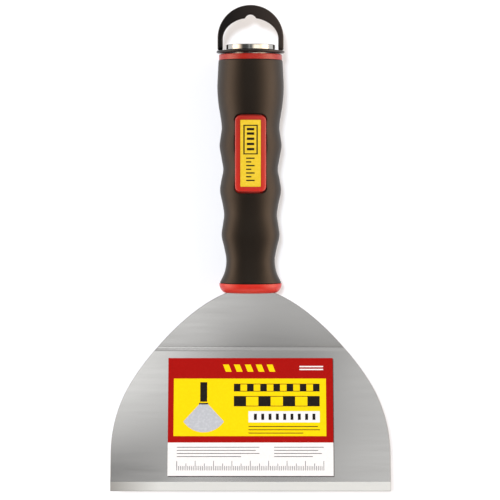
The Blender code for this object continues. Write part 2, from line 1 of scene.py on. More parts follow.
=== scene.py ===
# %% [markdown]
# # A bent pole scraper
#
# This tool scrapes paint and plaster off ceilings and floors. A wide stainless blade is bent a little
# upwards, the handle is hard plastic with soft rubber moulded over it, and a threaded metal socket at the
# butt takes a broom pole. A thin ring turns between the handle and the socket's head, and carries a hang
# loop that folds over. The solid model already fixes every size and every joint. The lesson builds a finer
# surface round it, piece by piece, and gives each piece the finish of the real thing.
#
# ## Load the solid model
# The loader brings in one object for each solid. Its outer box is kept, because the finished pieces are
# drawn to stay inside it.

import json
import math

import bmesh
import bpy
from mathutils import Matrix, Vector
from mathutils.geometry import interpolate_bezier


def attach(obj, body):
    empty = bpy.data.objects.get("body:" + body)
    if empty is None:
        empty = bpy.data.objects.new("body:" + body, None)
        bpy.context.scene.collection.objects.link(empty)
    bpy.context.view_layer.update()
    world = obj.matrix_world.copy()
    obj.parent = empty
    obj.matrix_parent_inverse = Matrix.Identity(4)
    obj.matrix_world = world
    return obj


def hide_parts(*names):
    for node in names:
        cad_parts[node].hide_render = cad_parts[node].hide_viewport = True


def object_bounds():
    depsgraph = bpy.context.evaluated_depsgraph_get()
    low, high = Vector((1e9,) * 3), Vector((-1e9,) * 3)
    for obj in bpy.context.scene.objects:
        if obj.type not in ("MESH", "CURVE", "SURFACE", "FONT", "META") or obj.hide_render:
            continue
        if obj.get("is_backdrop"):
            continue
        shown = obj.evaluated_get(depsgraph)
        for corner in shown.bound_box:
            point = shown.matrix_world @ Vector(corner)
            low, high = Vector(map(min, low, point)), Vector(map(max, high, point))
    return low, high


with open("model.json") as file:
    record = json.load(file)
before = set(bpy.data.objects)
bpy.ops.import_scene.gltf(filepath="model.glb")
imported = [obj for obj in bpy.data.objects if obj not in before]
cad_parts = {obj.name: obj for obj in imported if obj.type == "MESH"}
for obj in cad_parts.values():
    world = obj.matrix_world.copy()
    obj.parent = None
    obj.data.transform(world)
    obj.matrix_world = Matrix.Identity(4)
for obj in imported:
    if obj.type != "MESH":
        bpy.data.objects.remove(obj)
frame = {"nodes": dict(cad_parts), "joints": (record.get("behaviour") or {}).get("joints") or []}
CAD_BOX = [list(corner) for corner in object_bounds()]

# %% [markdown]
# ## The tool's own frame
# The scraper rests on its collar and on the ring at its butt, so its handle leans a little. It is easier to
# draw it straight: X across the blade, Y along the handle from the bend towards the butt, Z out of the
# labelled side. One matrix then lays each finished piece in its leaning place. The matrix comes from the
# axis that the ring turns on.

# %% Sizes along the handle, and the matrix that lays the tool down
MM = 0.001
DEGREE = math.pi / 180
FULL_TURN = 2 * math.pi

COLLAR_FACE_Y = 31.2 * MM
COLLAR_TOP_Y = 36.4 * MM
GRIP_TOP_Y = 158.7 * MM
BAND_TOP_Y = 161.75 * MM
RING_LOW_Y = 162.5 * MM
RING_TOP_Y = 163.7 * MM
HEAD_LOW_Y = 164.0 * MM
HEAD_TOP_Y = 167.0 * MM
SOCKET_END_Y = 133.0 * MM

swivel = next(joint for joint in frame["joints"] if joint["name"] == "loop_swivel")
along_handle = Vector(swivel["axis"]).normalized()
LEAN = math.atan2(along_handle.z, along_handle.y)
LAY_DOWN = (
    Matrix.Translation(swivel["pos_m"])
    @ Matrix.Rotation(LEAN, 4, "X")
    @ Matrix.Translation((0, -(RING_LOW_Y + RING_TOP_Y) / 2, 0))
)
print(f"the handle leans {LEAN / DEGREE:.2f} degrees, and the bend lies at {LAY_DOWN.translation / MM} mm")

# %% [markdown]
# ## Helpers for materials
# Colours are written as the hex codes that a colour picker shows. A shader wants linear light, so one
# function converts them. The other adds a node to a material, sets its values and joins its links, in one
# call. Two short ones join links and start a material with its plain values.

# %% Material helpers
def linear(code, alpha=1.0):
    """Linear RGBA from an sRGB hex code."""
    shares = [int(code[place : place + 2], 16) / 255 for place in (1, 3, 5)]
    return [s / 12.92 if s <= 0.04045 else ((s + 0.055) / 1.055) ** 2.4 for s in shares] + [alpha]


def join(tree, node, links):
    """Links a node's sockets, by name or number, to outputs of other nodes."""
    for name, (source, output) in links.items():
        tree.links.new(source.outputs[output], node.inputs[name])


def add_node(tree, kind, values=None, links=None):
    """Adds a shader node. Values go to its named sockets or settings, and links come from other nodes."""
    node = tree.nodes.new("ShaderNode" + kind)
    for name, value in (values or {}).items():
        if isinstance(name, int) or name in node.inputs:
            node.inputs[name].default_value = value
        else:
            setattr(node, name, value)
    join(tree, node, links or {})
    return node


def new_material(name, **values):
    """A material whose Principled shader has these values, with its node tree and that shader."""
    material = bpy.data.materials.new(name)
    material.use_nodes = True
    tree = material.node_tree
    shader = tree.nodes["Principled BSDF"]
    for socket, value in values.items():
        shader.inputs[socket.replace("_", " ")].default_value = value
    return material, tree, shader


print("a mid grey in linear light:", [round(v, 3) for v in linear("#808080")])

# %% [markdown]
# ## Moulded and printed finishes
# Hard red plastic comes out of a polished mould, so it is smooth and a little glossy, and its colour is
# strong and even. The black loop and ring are the same kind of plastic in a softer grade. To the eye it is
# nearly black, with no sharp highlight. A faint unevenness in the gloss, a few millimetres across, is what
# tells real moulded plastic from a computer's: the surface sinks a little where the wall is thick. Light is
# also painted in: a painted sheen greys the right half of the loop and ring, and a painted shade deepens the
# red towards the butt.

# %% Hard red plastic and black loop plastic
def moulded_plastic(name, colour, deep_colour, roughness, ior, grain):
    """Injection moulded plastic, with sink marks of about 4 mm and a fine skin of about half a millimetre."""
    material, tree, shader = new_material(name, Roughness=roughness, IOR=ior)
    here = {"Vector": (add_node(tree, "TexCoord"), "Object")}
    sink = add_node(tree, "TexNoise", {"Scale": 1 / (4 * MM), "Detail": 2.0}, here)
    skin = add_node(tree, "TexNoise", {"Scale": 1 / (0.5 * MM), "Detail": 1.0}, here)
    colours = {"data_type": "RGBA", 6: linear(deep_colour), 7: linear(colour)}
    tint = add_node(tree, "Mix", colours, {0: (sink, "Fac")})
    uneven = {"To Min": roughness - 0.05, "To Max": roughness + 0.06}
    gloss = add_node(tree, "MapRange", uneven, {"Value": (skin, "Fac")})
    wavy = add_node(tree, "Bump", {"Strength": 0.1, "Distance": 0.1 * MM}, {"Height": (sink, "Fac")})
    over_sinks = {"Height": (skin, "Fac"), "Normal": (wavy, 0)}
    fine = add_node(tree, "Bump", {"Strength": grain, "Distance": 0.02 * MM}, over_sinks)
    join(tree, shader, {"Base Color": (tint, 2), "Roughness": (gloss, 0), "Normal": (fine, 0)})
    return material


def paint_light_and_shade_along(material, axis, low, high, colour, most):
    """Mixes in another colour along an axis, from one place to another: a painted sheen or a painted shade.
    """
    tree = material.node_tree
    shader = tree.nodes["Principled BSDF"]
    tint = shader.inputs["Base Color"].links[0].from_socket
    split = add_node(tree, "SeparateXYZ", None, {"Vector": (add_node(tree, "TexCoord"), "Object")})
    limits = {"From Min": low, "From Max": high, "To Max": most}
    share = add_node(tree, "MapRange", limits, {"Value": (split, axis)})
    mixed = add_node(tree, "Mix", {"data_type": "RGBA", 7: linear(colour)}, {0: (share, 0)})
    tree.links.new(tint, mixed.inputs[6])
    join(tree, shader, {"Base Color": (mixed, 2)})


red_plastic = moulded_plastic("Glossy red polypropylene", "#ba261a", "#ac1f15", 0.32, 1.50, 0.10)
black_plastic = moulded_plastic("Black flexible polypropylene", "#060404", "#030202", 0.36, 1.35, 0.20)
# Painted sheen: the black loop and ring are painted greyer towards their right side.
paint_light_and_shade_along(black_plastic, "X", -13 * MM, 24 * MM, "#302824", 1.0)
# Painted shade: the red darkens from the collar to the pad, and again from the pad to the band at the butt.
paint_light_and_shade_along(red_plastic, "Y", -15 * MM, 25 * MM, "#a92016", 1.0)
paint_light_and_shade_along(red_plastic, "Y", 30 * MM, 75 * MM, "#921c12", 1.0)
print("plastics:", red_plastic.name, "and", black_plastic.name)

# %% [markdown]
# The grip is thermoplastic rubber, moulded against a mould that was blasted to a fine matt. It looks dark
# and soft: light spreads over it in broad patches, and nothing in it is mirrored. The blasted grain is
# about 0.1 mm, too fine for the picture, so it is drawn at 0.35 mm. Handling leaves slow patches that are
# slightly lighter and glossier.

# %% Matt grip rubber
def grip_rubber():
    """Blasted thermoplastic rubber. Its highlights are slightly warm."""
    material, tree, shader = new_material("Matt black-brown TPE rubber", Roughness=0.44, IOR=1.47)
    shader.inputs["Specular Tint"].default_value = linear("#ffeedd")
    here = {"Vector": (add_node(tree, "TexCoord"), "Object")}
    grain = add_node(tree, "TexNoise", {"Scale": 1 / (0.35 * MM), "Detail": 3.0}, here)
    handling = add_node(tree, "TexNoise", {"Scale": 1 / (14 * MM), "Detail": 3.0}, here)
    worn = add_node(tree, "MapRange", {"From Min": 0.35, "From Max": 0.70}, {"Value": (handling, "Fac")})
    colours = {"data_type": "RGBA", 6: linear("#080605"), 7: linear("#0c0a08")}
    tint = add_node(tree, "Mix", colours, {0: (worn, 0)})
    gloss = add_node(tree, "MapRange", {"To Min": 0.49, "To Max": 0.43}, {"Value": (handling, "Fac")})
    bump = add_node(tree, "Bump", {"Strength": 0.35, "Distance": 0.03 * MM}, {"Height": (grain, "Fac")})
    join(tree, shader, {"Base Color": (tint, 2), "Roughness": (gloss, 0), "Normal": (bump, 0)})
    return material


rubber = grip_rubber()
print("rubber:", rubber.name)

# %% [markdown]
# The labels are printed in flat colours on coated card and laminated. To the eye an ink is an even, strong
# colour that hardly shines. Each ink is one material: its colour, broken up very slightly by the card's
# fibres, under a thin gloss. The ink layers themselves are modelled as thin pieces, so their edges stay
# crisp at any distance. The last material is a dark grey made like an ink: a painted shadow round a label.

# %% Inks on paper
def ink(name, colour, pale_colour, roughness):
    """Offset ink on coated card: the fibres of the card show as a mottle of about 1.2 mm."""
    material, tree, shader = new_material(name, Roughness=roughness, IOR=1.48, Specular_IOR_Level=0.15)
    here = {"Vector": (add_node(tree, "TexCoord"), "Object")}
    fibres = add_node(tree, "TexNoise", {"Scale": 1 / (1.2 * MM), "Detail": 4.0}, here)
    mottle = add_node(tree, "MapRange", {"From Min": 0.45, "From Max": 0.75}, {"Value": (fibres, "Fac")})
    colours = {"data_type": "RGBA", 6: linear(colour), 7: linear(pale_colour)}
    tint = add_node(tree, "Mix", colours, {0: (mottle, 0)})
    bump = add_node(tree, "Bump", {"Strength": 0.05, "Distance": 0.01 * MM}, {"Height": (fibres, "Fac")})
    join(tree, shader, {"Base Color": (tint, 2), "Normal": (bump, 0)})
    return material


red_ink = ink("Red ink on coated card", "#900703", "#950b07", 0.32)
yellow_ink = ink("Yellow ink on coated card", "#dfbd00", "#e3c304", 0.34)
white_card = ink("White coated card", "#d3d3d2", "#d9d9d8", 0.36)
black_ink = ink("Black ink on coated card", "#17130f", "#221d19", 0.30)
grey_ink = ink("Grey ink on coated card", "#a3a7ac", "#b2b6ba", 0.34)
# Painted shadow: the dark grey that stands for the card's shadow on the blade.
painted_card_shadow = ink("Painted shadow round the card", "#3c3b39", "#504e4b", 0.60)
sticker_ink = ink("Yellow laminated sticker", "#c8ac28", "#d0b43a", 0.28)
print("inks:", [m.name for m in (red_ink, yellow_ink, white_card, black_ink, grey_ink, sticker_ink)])

# %% [markdown]
# ## Metals
# The blade is cold-rolled stainless sheet, polished after it was hardened. It mirrors the room softly, in
# slow greys. Polishing leaves a faint haze in long streaks across the blade, so its roughness is stretched
# noise. The sheet isn't quite flat either: pressing the bend has lifted it a little behind, grinding thins
# it towards the edge, polishing has dropped its sides, and a slow wave of a tenth of a millimetre runs
# through it. None of these shows as a shape, but each turns what the steel mirrors, so they are drawn as a
# bump over the sheet.
#
# The cutting edge is ground last, with a wheel. The grit leaves lines side by side, and the edge scatters
# light like a matt surface: to the eye it is one bright strip. Its colour turns darker towards its left end.
# The sheet's cut sides are sheared and tumbled. They are grey and dull, and draw a thin darker line round
# the blade.

# %% Stainless steel, polished and ground
PRESS_REACH = 26 * MM
PRESS_RISE = 0.65 * MM
TAPER_START = 15 * MM
TAPER_REACH = 60 * MM
TAPER_FALL = 1.85 * MM
CROWN_REACH = 76 * MM
CROWN_FALL = 1.3 * MM
WAVE_HEIGHT = 0.10 * MM


def sheet_steel(name, colour, roughness):
    """Steel that reads its place on the flat sheet from its UV map. It gives back the nodes to build on."""
    material, tree, shader = new_material(name, Metallic=1.0, Roughness=roughness, Base_Color=linear(colour))
    sheet = add_node(tree, "UVMap", {"uv_map": "sheet"})
    return material, tree, shader, sheet


def squared_ramp(tree, source, output, low, high, height):
    """Nothing up to one value, then rising as a square to a height at another."""
    ramp = add_node(tree, "MapRange", {"From Min": low, "From Max": high}, {"Value": (source, output)})
    square = add_node(tree, "Math", {"operation": "POWER", 1: 2.0}, {0: (ramp, 0)})
    return add_node(tree, "Math", {"operation": "MULTIPLY", 1: height}, {0: (square, 0)})


def polished_sheet():
    """Polished sheet: streaks 40 mm long and 3 mm wide in its gloss, and its slow rises and falls."""
    material, tree, shader, sheet = sheet_steel("Polished stainless steel", "#d3d2d0", 0.14)
    streaks = add_node(tree, "Mapping", {"Scale": (1 / (40 * MM), 1 / (3 * MM), 1.0)}, {"Vector": (sheet, 0)})
    haze = add_node(tree, "TexNoise", {"Scale": 1.0, "Detail": 4.0}, {"Vector": (streaks, 0)})
    hazed = {"From Min": 0.3, "From Max": 0.7, "To Min": 0.12, "To Max": 0.16}
    gloss = add_node(tree, "MapRange", hazed, {"Value": (haze, "Fac")})
    along = add_node(tree, "SeparateXYZ", None, {"Vector": (sheet, 0)})
    pressed = squared_ramp(tree, along, "Y", PRESS_REACH, 0.0, PRESS_RISE)
    tapered = squared_ramp(tree, along, "Y", -TAPER_START, -TAPER_START - TAPER_REACH, -TAPER_FALL)
    aside = add_node(tree, "Math", {"operation": "ABSOLUTE"}, {0: (along, "X")})
    crowned = squared_ramp(tree, aside, 0, 0.0, CROWN_REACH, -CROWN_FALL)
    waves = add_node(tree, "TexNoise", {"Scale": 1 / (35 * MM), "Detail": 0.0}, {"Vector": (sheet, 0)})
    waved = add_node(tree, "Math", {"operation": "MULTIPLY", 1: WAVE_HEIGHT}, {0: (waves, "Fac")})
    height = pressed
    for more in (tapered, crowned, waved):
        height = add_node(tree, "Math", {"operation": "ADD"}, {0: (height, 0), 1: (more, 0)})
    bump = add_node(tree, "Bump", {"Strength": 1.0, "Distance": 1.0}, {"Height": (height, 0)})
    join(tree, shader, {"Roughness": (gloss, 0), "Normal": (bump, 0)})
    return material


def ground_bevel():
    """The ground edge, with lines 0.3 mm apart. It is half matt, so it stays bright from all sides."""
    material, tree, shader, sheet = sheet_steel("Ground stainless edge", "#d5d8d5", 0.35)
    shader.inputs["Metallic"].default_value = 0.35
    aside = add_node(tree, "SeparateXYZ", None, {"Vector": (sheet, 0)})
    # The edge's colour darkens towards its left end.
    left_end = {"From Min": -50 * MM, "From Max": -76 * MM, "To Max": 0.9}
    dull = add_node(tree, "MapRange", left_end, {"Value": (aside, "X")})
    greys = {"data_type": "RGBA", 6: linear("#d5d8d5"), 7: linear("#8e8d89")}
    tint = add_node(tree, "Mix", greys, {0: (dull, 0)})
    lines = add_node(tree, "Mapping", {"Scale": (1 / (0.3 * MM), 1 / (14 * MM), 1.0)}, {"Vector": (sheet, 0)})
    grinding = add_node(tree, "TexNoise", {"Scale": 1.0, "Detail": 2.0}, {"Vector": (lines, 0)})
    bump = add_node(tree, "Bump", {"Strength": 1.0, "Distance": 0.03 * MM}, {"Height": (grinding, "Fac")})
    join(tree, shader, {"Base Color": (tint, 2), "Normal": (bump, 0)})
    return material


polished_steel = polished_sheet()
ground_steel = ground_bevel()
sheared_steel = new_material(
    "Sheared and tumbled edge", Metallic=1.0, Roughness=0.5, Base_Color=linear("#8f8f8c")
)[0]
STEELS = [polished_steel, ground_steel, sheared_steel]
print("steels:", [steel.name for steel in STEELS])

# %% [markdown]
# The pole socket is turned from steel and nickel plated. The plate has dulled to a neutral grey, but it is
# still smooth, and mirrors the room in sharp bright and dark bars. Turning leaves rings round its axis, and
# plating smooths them, so only the gloss varies. The pins inside the handle are plain drawn steel, grey and
# satin.

# %% Nickel plate and pin steel
def plated(name, colour, roughness):
    """Turned and plated steel, with slow tool rings about 0.6 mm apart along the handle."""
    material, tree, shader = new_material(name, Metallic=1.0, Roughness=roughness, Base_Color=linear(colour))
    here = {"Vector": (add_node(tree, "TexCoord"), "Object")}
    rings = add_node(tree, "Mapping", {"Scale": (0.02 / MM, 1 / (0.6 * MM), 0.02 / MM)}, here)
    turning = add_node(tree, "TexNoise", {"Scale": 1.0, "Detail": 2.0}, {"Vector": (rings, 0)})
    uneven = {"To Min": roughness * 0.7, "To Max": roughness * 1.5}
    gloss = add_node(tree, "MapRange", uneven, {"Value": (turning, "Fac")})
    join(tree, shader, {"Roughness": (gloss, 0)})
    return material


nickel = plated("Dulled nickel plate", "#b4b4b0", 0.09)
pin_steel = plated("Drawn pin steel", "#b4b3b0", 0.30)
for name in ("tang_pin_front", "tang_pin_rear"):
    pin = frame["nodes"][name]
    pin.data.materials.clear()
    pin.data.materials.append(pin_steel)
print("metals:", nickel.name, "and", pin_steel.name)

# %% [markdown]
# ## Finish a piece
# Each piece is drawn as a bmesh in the tool's own frame. One function merges its doubles, turns its faces
# outward, lays it down, shades it, gives it its finish, hides the solid that it stands for and hangs it on
# the body that it moves with. Another cuts one shape with a second one, or joins the two.

# %% The functions that finish and cut a piece
MERGE = 0.001 * MM
CREASE = 35 * DEGREE


def close_up(bm):
    """Merges points that lie together and turns the faces outward."""
    bmesh.ops.remove_doubles(bm, verts=bm.verts, dist=MERGE)
    bmesh.ops.recalc_face_normals(bm, faces=bm.faces)
    if bm.calc_volume(signed=True) < 0:
        bmesh.ops.reverse_faces(bm, faces=bm.faces)


def new_object(bm, name):
    """Turns a bmesh into an object of the scene."""
    mesh = bpy.data.meshes.new(name)
    bm.to_mesh(mesh)
    bm.free()
    made = bpy.data.objects.new(name, mesh)
    bpy.context.scene.collection.objects.link(made)
    return made


def finish_piece(bm, name, body, node, materials, sharp=CREASE):
    """Makes a visible piece of a bmesh. Edges that turn by more than an angle stay sharp."""
    close_up(bm)
    bm.transform(LAY_DOWN)
    piece = new_object(bm, name)
    piece.data.shade_smooth()
    piece.data.set_sharp_from_angle(angle=sharp)
    for material in materials:
        piece.data.materials.append(material)
    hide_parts(node)
    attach(piece, body)
    print(f"{name}: {len(piece.data.polygons)} faces")


def cut(bm, cutter, operation="DIFFERENCE"):
    """Cuts one bmesh with another, or joins them, and gives back the result."""
    bodies = []
    for shape in (bm, cutter):
        close_up(shape)
        bodies.append(new_object(shape, "workpiece"))
    modifier = bodies[0].modifiers.new("cut", "BOOLEAN")
    modifier.operation = operation
    modifier.object = bodies[1]
    made = bmesh.new()
    made.from_mesh(bodies[0].evaluated_get(bpy.context.evaluated_depsgraph_get()).to_mesh())
    for body in bodies:
        bpy.data.meshes.remove(body.data)
    return made


print("helpers ready")

# %% [markdown]
# ## The blade as flat sheet
# The blade starts as an outline cut from flat sheet. Half of it is drawn: the straight side, the corner
# arc, the long shoulder that sweeps up to the tang, and the tang itself. The shoulder is a single Bezier
# curve, the way that a draughtsman would set it with a spline. The mirror operator makes the other half.

# %% Half of the blade's outline
BLADE_HALF = 76.2 * MM
BEND_TO_EDGE = 78.06 * MM
STRAIGHT_SIDE = 20.7 * MM
SHOULDER_ARC = 26 * DEGREE
SHOULDER_PULLS = (21.5 * MM, 23.5 * MM)
SHOULDER_SLOPE = 15 * DEGREE
SHOULDER_IN_COLLAR = 1.2 * MM
SHEET = 1.5 * MM
TANG_HALF = 9.0 * MM
TANG_END_Y = COLLAR_FACE_Y + 92 * MM
TANG_CORNER = 4.0 * MM


def arc(centre, radius, start, end, steps):
    """Points on an arc, from one angle to another."""
    turns = [start + (end - start) * step / steps for step in range(steps + 1)]
    return [(centre[0] + radius * math.cos(turn), centre[1] + radius * math.sin(turn)) for turn in turns]


def half_outline(gap=0.0):
    """The right half of the flat blade, from edge to tang. A gap widens the part in the handle."""
    centre = (0.0, STRAIGHT_SIDE - BEND_TO_EDGE)
    corner = arc(centre, BLADE_HALF, 0, SHOULDER_ARC, 16)
    start = Vector((*corner[-1], 0))
    end = Vector((TANG_HALF + gap, COLLAR_FACE_Y + SHOULDER_IN_COLLAR + gap, 0))
    leaving = Vector((-math.sin(SHOULDER_ARC), math.cos(SHOULDER_ARC), 0)) * SHOULDER_PULLS[0]
    arriving = Vector((math.cos(SHOULDER_SLOPE), -math.sin(SHOULDER_SLOPE), 0)) * SHOULDER_PULLS[1]
    sweep = interpolate_bezier(start, start + leaving, end + arriving, end, 40)
    tang_corner = (TANG_HALF + gap - TANG_CORNER, TANG_END_Y + gap - TANG_CORNER)
    outline = [(BLADE_HALF, -BEND_TO_EDGE)] + corner + [(p.x, p.y) for p in sweep[1:]]
    return outline + arc(tang_corner, TANG_CORNER, 0, math.pi / 2, 8)


def raise_faces(bm, height):
    """Extrudes all faces straight up, so that a flat outline becomes a solid."""
    raised = bmesh.ops.extrude_face_region(bm, geom=bm.faces[:])["geom"]
    raised = [item for item in raised if isinstance(item, bmesh.types.BMVert)]
    bmesh.ops.translate(bm, verts=raised, vec=(0, 0, height))


def flat_blade(low, high, gap=0.0):
    """The blade as a flat solid between two heights."""
    bm = bmesh.new()
    outline = half_outline(gap)
    middle = [(0.0, outline[-1][1]), (0.0, outline[0][1])]
    bm.faces.new([bm.verts.new((x, y, low)) for x, y in outline + middle])
    bmesh.ops.mirror(bm, geom=bm.faces[:] + bm.edges[:] + bm.verts[:], axis="X", merge_dist=MERGE)
    bmesh.ops.dissolve_edges(bm, edges=[e for e in bm.edges if len(e.link_faces) == 2])
    raise_faces(bm, high - low)
    return bm


print("points on half the outline:", len(half_outline()))

# %% [markdown]
# ## Grind, map and bend the blade
# The wheel takes the top of the sheet down to half a millimetre at the edge. A UV map is written while the
# sheet is still flat, in metres, so the polishing streaks run with the sheet through its bend. Then the
# part in front of the bend swings up by 15 degrees round a 12 mm radius, as it does in a press brake. Faces
# are split across the bend first, because a flat face can't curve. The steels are told apart while the sheet
# is flat: its level faces are polished, or ground at the edge, and the rest are its sheared sides.

# %% The bent blade
BEND_ANGLE = 15 * DEGREE
BEND_RADIUS = 12.0 * MM
BEND_STRIPS = 24
BEVEL = 4.9 * MM
EDGE = 0.5 * MM
EDGE_BREAK = 0.15 * MM
RIM_TURN = 60 * DEGREE
LEVEL = 0.95
BLADE_CREASE = 8 * DEGREE


def split_faces(bm, direction, places):
    """Splits the faces where they cross each of these places along a direction."""
    for place in places:
        bmesh.ops.bisect_plane(
            bm,
            geom=bm.verts[:] + bm.edges[:] + bm.faces[:],
            plane_co=Vector(direction) * place,
            plane_no=direction,
            dist=MERGE,
        )


def map_sheet(bm):
    """Writes each point's place on the flat sheet, in metres, as a UV map."""
    layer = bm.loops.layers.uv.new("sheet")
    for face in bm.faces:
        for loop in face.loops:
            loop[layer].uv = loop.vert.co.xy


def bend_sheet(bm):
    """Swings what lies before y = 0 up by the bend angle, round a bend of the right radius."""
    middle = BEND_RADIUS + SHEET / 2
    half_arc = middle * BEND_ANGLE / 2
    for vertex in bm.verts:
        if vertex.co.y < half_arc:
            turn = min((half_arc - vertex.co.y) / middle, BEND_ANGLE)
            beyond = max(-half_arc - vertex.co.y, 0.0)
            radius = middle - vertex.co.z
            vertex.co.y = half_arc - radius * math.sin(turn) - beyond * math.cos(turn)
            vertex.co.z = middle - radius * math.cos(turn) + beyond * math.sin(turn)


def bend_splits():
    """The places across the flat sheet where the bend's strips meet."""
    half_arc = (BEND_RADIUS + SHEET / 2) * BEND_ANGLE / 2
    return [half_arc * (2 * strip / BEND_STRIPS - 1) for strip in range(BEND_STRIPS + 1)]


def make_blade():
    """Breaks the sheet's edges, maps it, grinds it, tells the steels apart and bends it."""
    bm = flat_blade(-SHEET / 2, SHEET / 2)
    level = [e for e in bm.edges if abs(e.verts[0].co.z - e.verts[1].co.z) < EDGE]
    rims = [e for e in level if e.calc_face_angle() > RIM_TURN]
    bmesh.ops.bevel(bm, geom=rims, offset=EDGE_BREAK, segments=2, profile=0.5, affect="EDGES", material=-1)
    ground_y = BEVEL - BEND_TO_EDGE
    split_faces(bm, (0, 1, 0), [ground_y] + bend_splits())
    map_sheet(bm)
    for vertex in bm.verts:
        if vertex.co.y < ground_y:
            depth = (ground_y - vertex.co.y) / BEVEL * (SHEET - EDGE)
            vertex.co.z -= depth * (vertex.co.z / SHEET + 0.5)
    bmesh.ops.recalc_face_normals(bm, faces=bm.faces)
    for face in bm.faces:
        if abs(face.normal.z) < LEVEL:
            face.material_index = STEELS.index(sheared_steel)
        elif face.calc_center_median().y < ground_y and face.normal.z > 0:
            face.material_index = STEELS.index(ground_steel)
    bend_sheet(bm)
    return bm


finish_piece(make_blade(), "blade_sheet", "handle", "blade", STEELS, BLADE_CREASE)

# %% [markdown]
# ## The shape of the grip
# The grip is a stack of ovals: pinched behind the collar, with rises for the fingers on both sides and an
# easy swell for the palm. Between the collar and the pad its shoulders are a little fuller than an oval's.
# A short table holds, for each place along it, half its width, the height of its top and the depth of its
# underside, as shares of half the palm's width. A smooth curve through the table gives any place between.

# %% The grip's section anywhere along it
PALM_HALF = 18.2 * MM
GRIP_LENGTH = GRIP_TOP_Y - COLLAR_TOP_Y
PAD_LOW_Y = 86.9 * MM
OVAL = 2.0
FULLER_BY = 0.5
FULLER_RISE = 8 * MM
FULLER_FALL = 26 * MM
FULLER_END_Y = PAD_LOW_Y - 1 * MM
GRIP_SHARES = (
    (0.000, 0.937, 0.710, 0.692),
    (0.050, 0.783, 0.665, 0.650),
    (0.104, 0.733, 0.650, 0.640),
    (0.158, 0.792, 0.675, 0.675),
    (0.215, 0.874, 0.715, 0.735),
    (0.262, 0.838, 0.715, 0.710),
    (0.306, 0.799, 0.710, 0.690),
    (0.352, 0.838, 0.727, 0.725),
    (0.415, 0.920, 0.765, 0.795),
    (0.465, 0.878, 0.765, 0.770),
    (0.509, 0.8235, 0.762, 0.740),
    (0.555, 0.868, 0.777, 0.775),
    (0.615, 0.934, 0.805, 0.840),
    (0.655, 0.905, 0.815, 0.825),
    (0.697, 0.868, 0.825, 0.810),
    (0.745, 0.903, 0.850, 0.845),
    (0.805, 0.968, 0.890, 0.895),
    (0.875, 1.000, 0.925, 0.925),
    (0.940, 0.984, 0.950, 0.945),
    (1.000, 0.962, 0.962, 0.962),
)


def grip_section(y, inset=0.0):
    """Half width, top height and underside depth of the grip at a place along the handle."""
    share = min(max((y - COLLAR_TOP_Y) / GRIP_LENGTH, 0.0), 1.0)
    rows = GRIP_SHARES
    index = max(i for i in range(len(rows) - 1) if rows[i][0] <= share)
    start, end = rows[index], rows[index + 1]
    before, after = rows[max(index - 1, 0)], rows[min(index + 2, len(rows) - 1)]
    t = (share - start[0]) / (end[0] - start[0])
    sizes = []
    for column in (1, 2, 3):
        leaving = (end[column] - before[column]) / (end[0] - before[0]) * (end[0] - start[0])
        arriving = (after[column] - start[column]) / (after[0] - start[0]) * (end[0] - start[0])
        value = start[column] + leaving * (t - 2 * t**2 + t**3) + arriving * (t**3 - t**2)
        sizes.append((value + (end[column] - start[column]) * (3 * t**2 - 2 * t**3)) * PALM_HALF - inset)
    return sizes


def squareness(y):
    """The power of the section's curve: 2 is an oval, and more has fuller shoulders, as below the pad."""
    rising = min(max((y - COLLAR_TOP_Y) / FULLER_RISE, 0.0), 1.0)
    falling = min(max((FULLER_END_Y - y) / FULLER_FALL, 0.0), 1.0)
    return OVAL + FULLER_BY * min(rising, falling)


waist = grip_section(COLLAR_TOP_Y + GRIP_SHARES[2][0] * GRIP_LENGTH)
print("grip at its waist, mm:", [round(size / MM, 2) for size in waist])

# %% [markdown]
# ## Skin a stack of ovals
# A circle is drawn for the first oval. For each next one its edge is extruded and the new points are moved
# to their place, so the wall grows ring by ring. Ending on the first oval again makes a closed shell, as
# for the rubber sleeve. Otherwise both ends are filled.

# %% The loft
def oval_point(turn_x, turn_y, power):
    """A point of the unit circle, pushed out to a fuller curve."""
    return [math.copysign(abs(share) ** (2 / power), share) for share in (turn_x, turn_y)]


def grown_from(vertex, ring):
    """The point of the last ring that a new point was extruded from."""
    return next(e.other_vert(vertex) for e in vertex.link_edges if e.other_vert(vertex) in ring)


def loft(sections, steps, closed=False, power_at=None):
    """A skin through ovals, each given as its y, half width, top height and underside depth."""
    bm = bmesh.new()
    ring = bmesh.ops.create_circle(bm, segments=steps, radius=1.0)["verts"]
    corner = {vertex: (vertex.co.x, vertex.co.y) for vertex in ring}
    edges = bm.edges[:]
    first = edges
    for index, (y, half, top, under) in enumerate(sections):
        if index:
            grown = bmesh.ops.extrude_edge_only(bm, edges=edges)["geom"]
            new = [item for item in grown if isinstance(item, bmesh.types.BMVert)]
            corner = {v: corner[grown_from(v, corner)] for v in new}
            edges = [item for item in grown if isinstance(item, bmesh.types.BMEdge)]
            edges = [edge for edge in edges if all(v in corner for v in edge.verts)]
        power = power_at(y) if power_at else OVAL
        for vertex, turned_to in corner.items():
            across, up = oval_point(*turned_to, power)
            vertex.co = (across * half, y, up * (top if up > 0 else under))
    if not closed:
        bmesh.ops.edgeloop_fill(bm, edges=first)
        bmesh.ops.edgeloop_fill(bm, edges=edges)
    return bm


def spread(low, high, count):
    """Evenly spaced values from one to another, with both ends."""
    return [low + (high - low) * step / count for step in range(count + 1)]


print("a loft of two ovals has", len(loft([(0, 1, 1, 1), (1, 1, 1, 1)], 12).faces), "faces")

# %% [markdown]
# ## The rubber sleeve
# The sleeve is a tube of rubber with a window in its top for the red pad. Its two ends are rounded where
# the mould closed on the red core.

# %% Lofted sleeve
SLEEVE_WALL = 2.4 * MM
SLEEVE_LIP = 0.6 * MM
CLEARANCE = 0.1 * MM
HANDLE_STEPS = 96
OUTER_ROWS = 150
INNER_ROWS = 24
LIP_ROWS = 4


